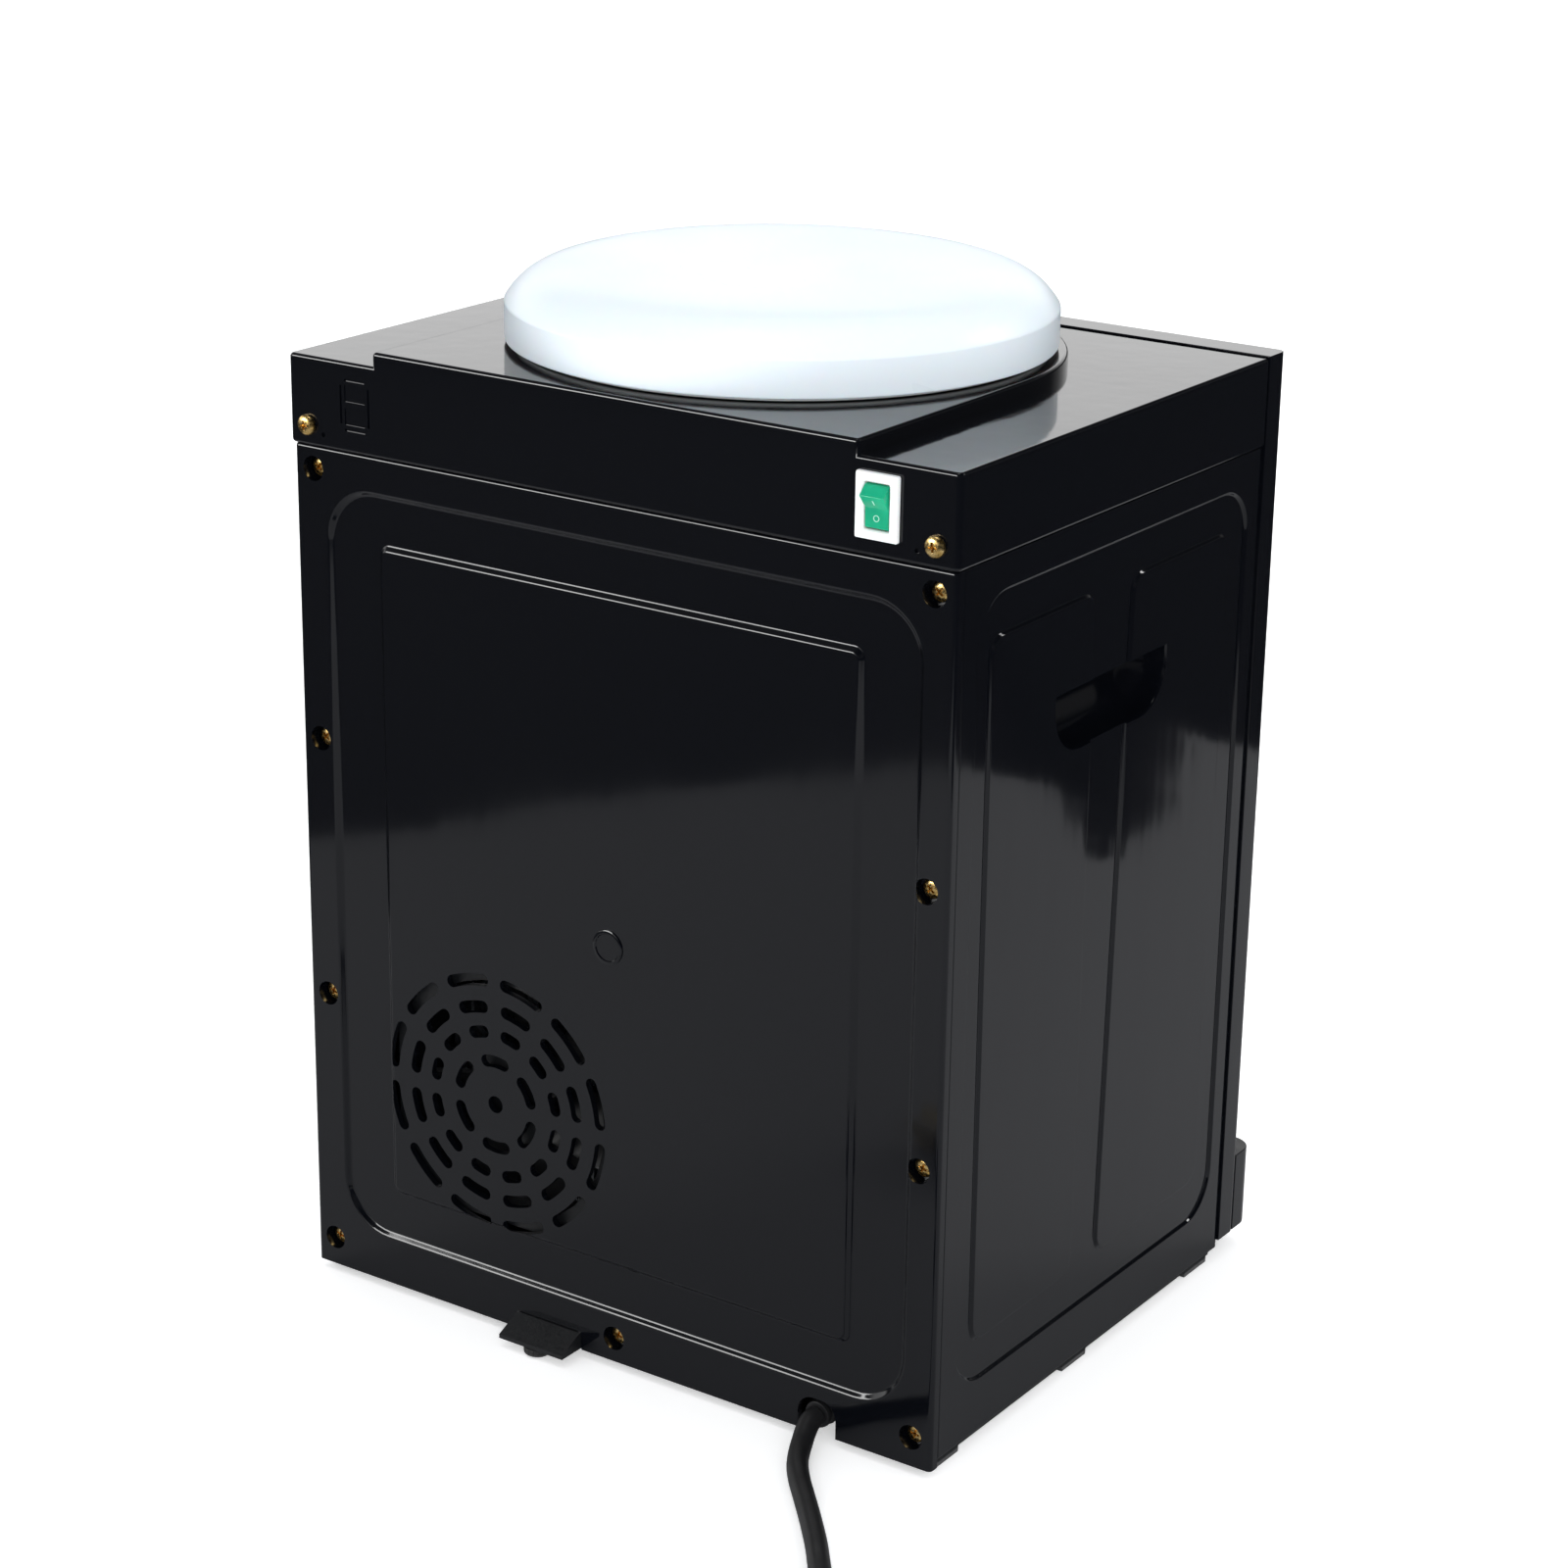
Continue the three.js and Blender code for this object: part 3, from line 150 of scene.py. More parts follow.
# ---------------------------------------------------------------- camera
def make_camera():
    """Behind the cooler and to one side, a little above it, with an 84 mm lens."""
    eye = Vector((-0.67621, 0.99387, 0.60382))
    target = Vector((-0.03819, 0.05831, 0.20677))
    roll = math.radians(0.8605)
    forward = (target - eye).normalized()
    level = forward.cross(Vector((0, 0, 1))).normalized()
    upward = level.cross(forward)
    right = level * math.cos(roll) + upward * math.sin(roll)
    top = upward * math.cos(roll) - level * math.sin(roll)
    data = bpy.data.cameras.new("camera")
    data.lens = 84.04
    data.sensor_width = 36
    camera = bpy.data.objects.new("camera", data)
    camera.matrix_world = Matrix.Translation(eye) @ Matrix((right, top, -forward)).transposed().to_4x4()
    bpy.context.scene.collection.objects.link(camera)
    bpy.context.scene.camera = camera


# ---------------------------------------------------------------- outlines
def arc(centre, radius, start, end, steps):
    """Points on an arc, its angles in degrees."""
    points = []
    for index in range(steps + 1):
        angle = math.radians(start + (end - start) * index / steps)
        points.append((centre[0] + radius * math.cos(angle), centre[1] + radius * math.sin(angle)))
    return points


def rounded_rectangle(u, v, radii, steps=8):
    """Counter-clockwise from the low-low corner; radii is one number or one for each corner."""
    if not isinstance(radii, (tuple, list)):
        radii = (radii,) * 4
    corners = ((u[0], v[0], 1, 1), (u[1], v[0], -1, 1), (u[1], v[1], -1, -1), (u[0], v[1], 1, -1))
    points = []
    for index, (corner_u, corner_v, side_u, side_v) in enumerate(corners):
        radius = max(radii[index], 0.01)
        centre = (corner_u + side_u * radius, corner_v + side_v * radius)
        start = 180 + 90 * index
        points += arc(centre, radius, start, start + 90, steps)
    return points


def inset_rectangle(shape, inset, steps=10):
    """The rounded rectangle of a u, v, radius dict, drawn in by the inset."""
    u = (shape["u"][0] + inset, shape["u"][1] - inset)
    v = (shape["v"][0] + inset, shape["v"][1] - inset)
    return rounded_rectangle(u, v, max(shape["radius"] - inset, 0.5), steps)


def around(centre, size):
    return centre - size / 2, centre + size / 2


def softened(points, radius, steps=3):
    """A closed outline with each corner rounded, as far as its sides leave room."""
    result = []
    count = len(points)
    for index, point in enumerate(points):
        here = Vector(point)
        before = Vector(points[index - 1]) - here
        after = Vector(points[(index + 1) % count]) - here
        reach = min(radius, before.length * 0.45, after.length * 0.45)
        start = here + before.normalized() * reach
        end = here + after.normalized() * reach
        for step in range(steps + 1):
            share = step / steps
            spot = start * (1 - share) ** 2 + here * 2 * share * (1 - share) + end * share ** 2
            result.append(tuple(spot))
    return result


# ---------------------------------------------------------------- mesh helpers
def on_axis(axis, u, v, level):
    """A point of an outline: X and Y for axis z, X and Z for axis y, Y and Z for axis x."""
    if axis == "z":
        return Vector((u, v, level))
    if axis == "y":
        return Vector((u, level, v))
    return Vector((level, u, v))


def new_object(name, mesh):
    piece = bpy.data.objects.new(name, mesh)
    bpy.context.scene.collection.objects.link(piece)
    return piece


def solid_from(name, build):
    """An object whose closed mesh is made by the function build."""
    shape = bmesh.new()
    build(shape)
    bmesh.ops.recalc_face_normals(shape, faces=shape.faces)
    mesh = bpy.data.meshes.new(name)
    shape.to_mesh(mesh)
    shape.free()
    return new_object(name, mesh)


def loft(name, rings, axis):
    """A closed solid through outlines with as many points each, given as (outline, level) pairs."""
    def build(shape):
        loops = []
        for outline, level in rings:
            loops.append([shape.verts.new(on_axis(axis, u, v, level)) for u, v in outline])
        count = len(loops[0])
        for lower, upper in zip(loops, loops[1:]):
            for index in range(count):
                after = (index + 1) % count
                shape.faces.new((lower[index], lower[after], upper[after], upper[index]))
        shape.faces.new(loops[0])
        shape.faces.new(loops[-1])
    return solid_from(name, build)


def prism(name, outline, levels, axis):
    return loft(name, [(outline, levels[0]), (outline, levels[1])], axis)


def block(name, x, y, z):
    outline = [(x[0], y[0]), (x[1], y[0]), (x[1], y[1]), (x[0], y[1])]
    return prism(name, outline, z, "z")


def rod(name, radius, levels, u, v, axis, sides=32):
    return prism(name, arc((u, v), radius, 0, 360 - 360 / sides, sides - 1), levels, axis)


def turned(name, profile, u, v, axis="z", sides=96):
    """A body of revolution from (radius, level) pairs that either close on themselves or end on the axis."""
    def build(shape):
        rings = []
        for radius, level in profile:
            if radius < 1e-6:
                rings.append([shape.verts.new(on_axis(axis, u, v, level))])
                continue
            spots = arc((u, v), radius, 0, 360 - 360 / sides, sides - 1)
            rings.append([shape.verts.new(on_axis(axis, a, b, level)) for a, b in spots])
        pairs = list(zip(rings, rings[1:]))
        if len(rings[0]) > 1:
            pairs.append((rings[-1], rings[0]))
        for lower, upper in pairs:
            for index in range(sides):
                after = (index + 1) % sides
                corners = [lower[index % len(lower)], lower[after % len(lower)]]
                corners += [upper[after % len(upper)], upper[index % len(upper)]]
                distinct = list(dict.fromkeys(corners))
                if len(distinct) > 2:
                    shape.faces.new(distinct)
    return solid_from(name, build)


def apply_modifiers(piece):
    evaluated = piece.evaluated_get(bpy.context.evaluated_depsgraph_get())
    mesh = bpy.data.meshes.new_from_object(evaluated)
    piece.modifiers.clear()
    piece.data = mesh


def joined(parts):
    """Separate solids merged into the first one's object."""
    shape = bmesh.new()
    for part in parts:
        shape.from_mesh(part.data)
    mesh = bpy.data.meshes.new(parts[0].name)
    shape.to_mesh(mesh)
    shape.free()
    for part in parts[1:]:
        bpy.data.objects.remove(part)
    parts[0].data = mesh
    return parts[0]


def combine(piece, tool, operation):
    modifier = piece.modifiers.new("combine", "BOOLEAN")
    modifier.object = tool
    modifier.operation = operation
    modifier.solver = "EXACT"
    apply_modifiers(piece)
    bpy.data.objects.remove(tool)


def cut(piece, *tools):
    for tool in tools:
        combine(piece, tool, "DIFFERENCE")


def add(piece, *tools):
    for tool in tools:
        combine(piece, tool, "UNION")


def round_edges(piece, width, segments=4, angle=50):
    """Rounds the sharp edges made so far. Later cuts stay crisp, and don't hold the width down."""
    modifier = piece.modifiers.new("bevel", "BEVEL")
    modifier.width = width
    modifier.segments = segments
    modifier.limit_method = "ANGLE"
    modifier.angle_limit = math.radians(angle)
    modifier.use_clamp_overlap = True
    apply_modifiers(piece)


def finish_mesh(piece, bevel=0.0, segments=2, bevel_angle=50, smooth_angle=40):
    """Rounds the sharp edges, shades the mesh with its flat faces kept flat, and scales it to metres."""
    shape = bmesh.new()
    shape.from_mesh(piece.data)
    bmesh.ops.remove_doubles(shape, verts=shape.verts, dist=0.01)
    bmesh.ops.dissolve_degenerate(shape, edges=shape.edges, dist=0.005)
    shape.to_mesh(piece.data)
    shape.free()
    if bevel:
        round_edges(piece, bevel, segments, bevel_angle)
    piece.data.shade_smooth()
    piece.data.set_sharp_from_angle(angle=math.radians(smooth_angle))
    modifier = piece.modifiers.new("normals", "WEIGHTED_NORMAL")
    modifier.keep_sharp = True
    apply_modifiers(piece)
    piece.data.transform(Matrix.Scale(0.001, 4))
    piece.data.update()
    return piece


def dress(piece, material, body, slot, *nodes):
    """Gives a piece its material and its body, and hides the CAD nodes that it stands for. The slot argument
    is not used.
    """
    piece.data.materials.clear()
    piece.data.materials.append(material)
    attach(piece, body)
    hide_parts(*nodes)


# ---------------------------------------------------------------- materials
def new_material(name, color, roughness, metallic=0.0, ior=1.46, **extra):
    """A material whose uniform values sit on the shader's own sockets."""
    material = bpy.data.materials.new(name)
    material.use_nodes = True
    shader = material.node_tree.nodes["Principled BSDF"]
    shader.inputs["Base Color"].default_value = (*color, 1)
    shader.inputs["Roughness"].default_value = roughness
    shader.inputs["Metallic"].default_value = metallic
    shader.inputs["IOR"].default_value = ior
    for socket, value in extra.items():
        shader.inputs[socket.replace("_", " ")].default_value = value
    return material


def noise(material, scale, detail=3.0, stretch=(1, 1, 1)):
    """Noise in the object's own metres, stretched by a factor along each axis."""
    nodes, links = material.node_tree.nodes, material.node_tree.links
    place = nodes.new("ShaderNodeTexCoord")
    mapping = nodes.new("ShaderNodeMapping")
    mapping.inputs["Scale"].default_value = stretch
    texture = nodes.new("ShaderNodeTexNoise")
    texture.inputs["Scale"].default_value = scale
    texture.inputs["Detail"].default_value = detail
    links.new(place.outputs["Object"], mapping.inputs["Vector"])
    links.new(mapping.outputs["Vector"], texture.inputs["Vector"])
    return texture.outputs["Fac"]


def bump(material, source, depth, strength=1.0):
    """Adds a bump of that depth in metres on top of any that the material already has."""
    nodes, links = material.node_tree.nodes, material.node_tree.links
    shader = nodes["Principled BSDF"]
    node = nodes.new("ShaderNodeBump")
    node.inputs["Strength"].default_value = strength
    node.inputs["Distance"].default_value = depth
    earlier = shader.inputs["Normal"].links
    if earlier:
        links.new(earlier[0].from_socket, node.inputs["Normal"])
    links.new(source, node.inputs["Height"])
    links.new(node.outputs["Normal"], shader.inputs["Normal"])


def remapped(nodes, links, source, start, end, low, high):
    """A node that maps start..end of the source onto low..high."""
    node = nodes.new("ShaderNodeMapRange")
    for name, value in (("From Min", start), ("From Max", end), ("To Min", low), ("To Max", high)):
        node.inputs[name].default_value = value
    links.new(source, node.inputs["Value"])
    return node


def spread(material, source, socket, low, high, start=0.35, end=0.65):
    """Drives a shader value or colour from a texture, between two values."""
    nodes, links = material.node_tree.nodes, material.node_tree.links
    shader = nodes["Principled BSDF"]
    if isinstance(low, tuple):
        ramp = nodes.new("ShaderNodeValToRGB")
        ramp.color_ramp.elements[0].position = start
        ramp.color_ramp.elements[0].color = (*low, 1)
        ramp.color_ramp.elements[1].position = end
        ramp.color_ramp.elements[1].color = (*high, 1)
        links.new(source, ramp.inputs["Fac"])
        links.new(ramp.outputs["Color"], shader.inputs[socket])
        return
    links.new(remapped(nodes, links, source, start, end, low, high).outputs["Result"], shader.inputs[socket])


def gloss_black():
    """Injection-moulded high-gloss ABS: slow sink waves, fine ripple and faint wipe marks."""
    material = new_material("gloss_black", (0.0019, 0.0023, 0.0036), 0.07, ior=1.46)
    spread(material, noise(material, 9, 4, (1, 1, 0.5)), "Roughness", 0.05, 0.1)
    bump(material, noise(material, 6, 1), 0.0006)
    bump(material, noise(material, 95, 1, (1, 1, 0.22)), 0.00005)
    return material


def matte_black(name="matte_black", color=(0.005, 0.0055, 0.0065), roughness=0.42):
    """Fine spark-eroded texture."""
    material = new_material(name, color, roughness)
    grain = noise(material, 1400, 2)
    spread(material, grain, "Roughness", roughness - 0.08, roughness + 0.1)
    bump(material, grain, 0.00006, 0.6)
    spread(material, noise(material, 30, 3), "Base Color",
           color, tuple(1.5 * part + 0.001 for part in color))
    return material


def white_plastic(name, color, roughness, subsurface=0.0):
    """Smooth white moulding with slow waves and a slightly uneven gloss."""
    material = new_material(name, color, roughness, Subsurface_Weight=subsurface, Subsurface_Scale=0.004)
    spread(material, noise(material, 14, 3), "Roughness", roughness - 0.05, roughness + 0.07)
    bump(material, noise(material, 22, 1), 0.0002)
    bump(material, noise(material, 900, 2), 0.00001)
    return material


def gold_zinc():
    """Yellow-passivated zinc: gold with greenish and reddish drifts, and fine scratches."""
    material = new_material("gold_zinc", (0.72, 0.5, 0.18), 0.26, 1.0)
    spread(material, noise(material, 420, 3), "Base Color", (0.82, 0.6, 0.26), (0.62, 0.4, 0.12))
    spread(material, noise(material, 1500, 2), "Roughness", 0.16, 0.38)
    bump(material, noise(material, 2600, 2), 0.00002, 0.5)
    return material


def cord_rubber():
    """Satin PVC with faint drawing lines and scuffs."""
    material = new_material("cord_black", (0.0105, 0.0105, 0.0115), 0.42)
    spread(material, noise(material, 60, 3), "Roughness", 0.34, 0.52)
    bump(material, noise(material, 1100, 2), 0.00003, 0.6)
    return material


def metal(name, color, roughness, stretch=(1, 1, 1)):
    """Extruded or rolled metal with drawing lines along the unstretched axes."""
    material = new_material(name, color, roughness, 1.0)
    lines = noise(material, 500, 3, stretch)
    spread(material, lines, "Roughness", roughness - 0.1, roughness + 0.12)
    bump(material, lines, 0.00003, 0.5)
    return material


def foam_beads():
    material = new_material("foam", (0.86, 0.86, 0.84), 0.8)
    nodes, links = material.node_tree.nodes, material.node_tree.links
    place = nodes.new("ShaderNodeTexCoord")
    beads = nodes.new("ShaderNodeTexVoronoi")
    beads.inputs["Scale"].default_value = 320
    links.new(place.outputs["Object"], beads.inputs["Vector"])
    bump(material, beads.outputs["Distance"], 0.0006)
    spread(material, beads.outputs["Distance"], "Base Color", (0.9, 0.9, 0.88), (0.7, 0.7, 0.68), 0.2, 0.8)
    return material


def circuit_board():
    material = new_material("board", (0.02, 0.14, 0.06), 0.35)
    tracks = noise(material, 160, 0, (1, 0.2, 1))
    spread(material, tracks, "Base Color", (0.012, 0.09, 0.04), (0.03, 0.2, 0.08), 0.48, 0.52)
    bump(material, tracks, 0.0001, 0.5)
    return material


def silicone():
    material = new_material("silicone", (0.75, 0.79, 0.8), 0.4, Subsurface_Weight=0.3,
                            Subsurface_Scale=0.004)
    spread(material, noise(material, 80, 3), "Roughness", 0.32, 0.5)
    return material


def clear_colour(name, color, glow=0.0):
    """A tinted moulding that lets some light through."""
    glowing = {"Emission_Color": (*color, 1), "Emission_Strength": glow} if glow else {}
    material = new_material(name, color, 0.22, Subsurface_Weight=0.25, Subsurface_Scale=0.003, **glowing)
    spread(material, noise(material, 120, 2), "Base Color", color, tuple(part * 0.8 for part in color))
    spread(material, noise(material, 40, 2), "Roughness", 0.17, 0.28)
    return material


GLOSS = gloss_black()
MATTE = matte_black()
MARK_WHITE = white_plastic("mark_white", (0.36, 0.68, 0.55), 0.5)
COVER_WHITE = white_plastic("cover_white", (0.8, 0.87, 0.93), 0.32, 0.15)
SEAT_WHITE = white_plastic("seat_white", (0.78, 0.8, 0.81), 0.35, 0.1)
BEZEL_WHITE = white_plastic("bezel_white", (0.86, 0.87, 0.87), 0.42, 0.1)
GOLD = gold_zinc()
CORD = cord_rubber()
RUBBER = matte_black("rubber_black", (0.012, 0.012, 0.012), 0.62)
ALUMINIUM = metal("aluminium", (0.72, 0.75, 0.78), 0.32, (1, 1, 0.03))
STEEL = metal("core_steel", (0.42, 0.42, 0.44), 0.4, (1, 0.05, 1))
BRASS = metal("plug_brass", (0.78, 0.66, 0.4), 0.25, (0.05, 1, 1))
FOAM = foam_beads()
BOARD = circuit_board()
SILICONE = silicone()
CERAMIC = white_plastic("ceramic", (0.8, 0.8, 0.78), 0.5)
GREEN = clear_colour("switch_green", (0.006, 0.4, 0.21))
TAP_BLUE = clear_colour("tap_blue", (0.02, 0.12, 0.52))
TAP_WHITE = white_plastic("tap_white", (0.8, 0.8, 0.81), 0.25)
LAMP_RED = clear_colour("lamp_red", (0.6, 0.03, 0.015), 0.4)
LAMP_GREEN = clear_colour("lamp_green", (0.03, 0.5, 0.1), 0.2)


# ---------------------------------------------------------------- mains lead
def coil_centre():
    tangent = Vector(CORD_ROUTE[-1][:2]) + HEADING * LEAD_IN
    return tangent + Vector((HEADING.y, -HEADING.x)) * COIL_R


def smooth_step(value):
    value = min(max(value, 0.0), 1.0)
    return value ** 3 * (value * (6 * value - 15) + 10)


def coil_points(per_turn=24):
    """Clockwise turns: outer and inner turn of the first layer, the next layer, and half of a third."""
    centre = coil_centre()
    start = math.atan2(HEADING.x, -HEADING.y)
    window = 1.9
    earlier = 0.3
    moves = (("radius", -1), ("height", 1), ("radius", 1), ("height", 1))
    finish = math.pi / 2
    sweep = 8 * math.pi + (start - finish) % (2 * math.pi)
    count = round(sweep / (2 * math.pi) * per_turn)
    points = []
    for index in range(count + 1):
        travelled = sweep * index / count
        radius, height = COIL_R, FLOOR_Z
        for turn, (kind, sign) in enumerate(moves, 1):
            end = 2 * math.pi * turn - (turn - 1) * earlier
            step = sign * COIL_PITCH * smooth_step((travelled - end + window) / window)
            if kind == "radius":
                radius += step
            else:
                height += step
        angle = start - travelled
        points.append((centre.x + radius * math.cos(angle), centre.y + radius * math.sin(angle), height))
    return points


def tail_points(count=14):
    """From the top of the coil along +X, down beside it and up into the plug."""
    centre = coil_centre()
    upper = FLOOR_Z + 2 * COIL_PITCH
    points = []
    for index in range(1, count + 1):
        reach = TAIL_LENGTH * index / count
        down = smooth_step((reach - 8) / 58) * (upper - FLOOR_Z)
        rise = smooth_step((reach - 66) / (TAIL_LENGTH - 66)) * (PLUG_Z - FLOOR_Z)
        points.append((centre.x + reach, centre.y + COIL_R, upper - down + rise))
    return points


def lead_points():
    last = Vector(CORD_ROUTE[-1])
    straight = [tuple(last + Vector((HEADING.x, HEADING.y, 0)) * reach) for reach in (18, 36, 54, 72, 88)]
    return CORD_ROUTE + straight + coil_points() + tail_points()


def make_cord():
    """The mains lead, one curve from the strain relief to the plug."""
    points = [Vector(point) * 0.001 for point in lead_points()]
    curve = bpy.data.curves.new("mains_lead", "CURVE")
    curve.dimensions = "3D"
    curve.resolution_u = 5
    curve.bevel_depth = CORD_R * 0.001
    curve.bevel_resolution = 5
    curve.use_fill_caps = True
    spline = curve.splines.new("BEZIER")
    spline.bezier_points.add(len(points) - 1)
    for knot, point in zip(spline.bezier_points, points):
        knot.co = point
        knot.handle_left_type = "AUTO"
        knot.handle_right_type = "AUTO"
    lead = new_object("mains_lead", curve)
    dress(lead, CORD, "cabinet", "cord_black", "cord_tube", "cord_coil", "cord_tail")
    return lead, points[0]


def make_plug():
    """A flat moulded plug with finger ridges, a ribbed neck and three flat blades."""
    start = PLUG_LOW.x
    y = (PLUG_LOW.y + PLUG_HIGH.y) / 2
    z = PLUG_Z
    flank = ((16, 6.5), (20, 8), (34, 17), (52, 17))
    corners = [(start + reach, y - half) for reach, half in flank]
    corners += [(start + reach, y + half) for reach, half in reversed(flank)]
    outline = softened(corners, 5)
    body = loft("plug_body", [
        (scaled(outline, 0.9), 0.4), (scaled(outline, 0.97), 1.6), (outline, 4), (outline, 2 * z - 4),
        (scaled(outline, 0.97), 2 * z - 1.6), (scaled(outline, 0.9), 2 * z - 0.4),
    ], "z")
    neck_profile = [(0, start + 0.4), (4.2, start + 0.4)]
    for index in range(4):
        ridge = start + 2 + index * 4.2
        neck_profile += [(4.9 + index * 0.3, ridge), (4.9 + index * 0.3, ridge + 2.4)]
        neck_profile += [(4.3 + index * 0.3, ridge + 2.8), (4.3 + index * 0.3, ridge + 3.8)]
    neck_profile += [(6.3, start + 19.5), (6.3, start + 24), (0, start + 24)]
    add(body, turned("plug_neck", neck_profile, y, z, "x", 40))
    ribs = []
    for index in range(5):
        across = around(start + 37 + index * 2.6, 1.2)
        for side in (-1, 1):
            ribs.append(block("rib", across, around(y + side * 17.2, 1.2), (5, 2 * z - 5)))
    cut(body, joined(ribs))
    dress(finish_mesh(body, 0.5, 2, 40), CORD, "cabinet", "cord_black", "plug")
    blades = []
    for offset, slant, low in ((-8, 0.5, z + 3), (8, -0.5, z + 3), (0, 0, z - 5)):
        shape = rounded_rectangle((start + 53, start + 70.5), (-3.2, 3.2), (0.1, 1.6, 1.6, 0.1), 5)
        blade = prism("blade", shape, (-0.8, 0.8), "y")
        blade.data.transform(Matrix.Translation((0, y + offset, low)) @ Matrix.Rotation(slant, 4, "X"))
        blades.append(blade)
    pins = finish_mesh(joined(blades), 0.15, 2)
    pins.name = "plug_blades"
    dress(pins, BRASS, "cabinet", "cord_black")
    return body, pins


def scaled(outline, factor):
    """An outline drawn in towards its middle."""
    middle_u = (min(u for u, v in outline) + max(u for u, v in outline)) / 2
    middle_v = (min(v for u, v in outline) + max(v for u, v in outline)) / 2
    return [(middle_u + (u - middle_u) * factor, middle_v + (v - middle_v) * factor) for u, v in outline]


def make_strain_relief():
    """A tapered sleeve whose rings get smaller towards the lead."""
    x = (RELIEF_LOW.x + RELIEF_HIGH.x) / 2
    z = (RELIEF_LOW.z + RELIEF_HIGH.z) / 2
    profile = [(0, 78), (7, 78), (7, 81), (5.6, 81), (5.6, 83.5), (6.4, 83.5)]
    for index in range(5):
        ring = 86 + index * 3.2
        radius = 6.2 - index * 0.32
        groove = radius - 0.9
        profile += [(radius, ring), (groove, ring + 0.4), (groove, ring + 1.5), (radius, ring + 1.9)]
    profile += [(4.6, 102.2), (0, 102.2)]
    sleeve = finish_mesh(turned("strain_relief_sleeve", profile, x, z, "y", 40), 0.15, 2)
    dress(sleeve, CORD, "cabinet", "cord_black", "strain_relief")
    return sleeve


# ---------------------------------------------------------------- cabinet shells
RAMP = ((0, 0), (0.1, 0.012), (0.22, 0.09), (0.36, 0.26), (0.64, 0.74), (0.78, 0.91), (0.9, 0.988), (1, 1))


def recess_tool(name, shape, level, outward, axis, depth=RELIEF_DEPTH, ramp=RELIEF_RAMP):
    """Cuts a shallow recess with a softly curved ramp round it into the face at level."""
    rings = [(inset_rectangle(shape, 0), level + outward)]
    for share, drop in RAMP:
        inset = inset_rectangle(shape, share * ramp)
        rings.append((inset, level - outward * (drop * depth - 0.004)))
    return loft(name, rings, axis)


def raised_pad(name, outlines, level, outward, axis, depth=RELIEF_DEPTH, ramp=RELIEF_RAMP):
    """A pad that stands up from a recess to the face at level, with the same ramp."""
    rings = [(outlines(0), level - outward * (depth + 0.4))]
    for share, rise in RAMP:
        rings.append((outlines(share * ramp), level - outward * depth * (1 - rise)))
    return loft(name, rings, axis)


def rear_screw_places():
    return [FOOT_SCREW] + [(side * SCREW_X, z) for z in SCREW_ROWS for side in (-1, 1)]


def vent_slot(radius, middle, sweep):
    half = SLOT_WIDTH / 2
    round_end = math.degrees(half / radius)
    start, end = middle - sweep / 2 + round_end, middle + sweep / 2 - round_end
    steps = max(4, round(sweep / 3))
    outer = arc(VENT, radius + half, start, end, steps)
    inner = arc(VENT, radius - half, end, start, steps)
    turn_end = arc(arc(VENT, radius, end, end, 1)[0], half, end, end + 180, 8)[1:-1]
    turn_start = arc(arc(VENT, radius, start, start, 1)[0], half, start + 180, start + 360, 8)[1:-1]
    return prism("slot", outer + turn_end + inner + turn_start, (REAR_Y - 6, REAR_Y + 2), "y")


def vent_tool():
    slots = [rod("centre_hole", 3.1, (REAR_Y - 6, REAR_Y + 2), *VENT, "y", 24)]
    for radius, count, sweep, first in VENT_RINGS:
        slots += [vent_slot(radius, first + index * 360 / count, sweep) for index in range(count)]
    return joined(slots)


def rear_section(drop):
    """The rear panel's plan, with its rear face set in by the drop."""
    return rounded_rectangle((-SIDE_X, SIDE_X), (REAR_SEAM_Y, REAR_Y - drop), (0.05, 0.05, 1.6, 1.6), 6)


def rear_shell():
    """A slab whose top rear edge is rounded."""
    rings = [(rear_section(0), REAR_LOW.z)]
    for step in range(9):
        turn = math.radians(step * 90 / 8)
        section = rear_section(TOP_EDGE_R * (1 - math.cos(turn)))
        rings.append((section, BODY_TOP_Z - TOP_EDGE_R * (1 - math.sin(turn))))
    return loft("rear_panel_shell", rings, "z")


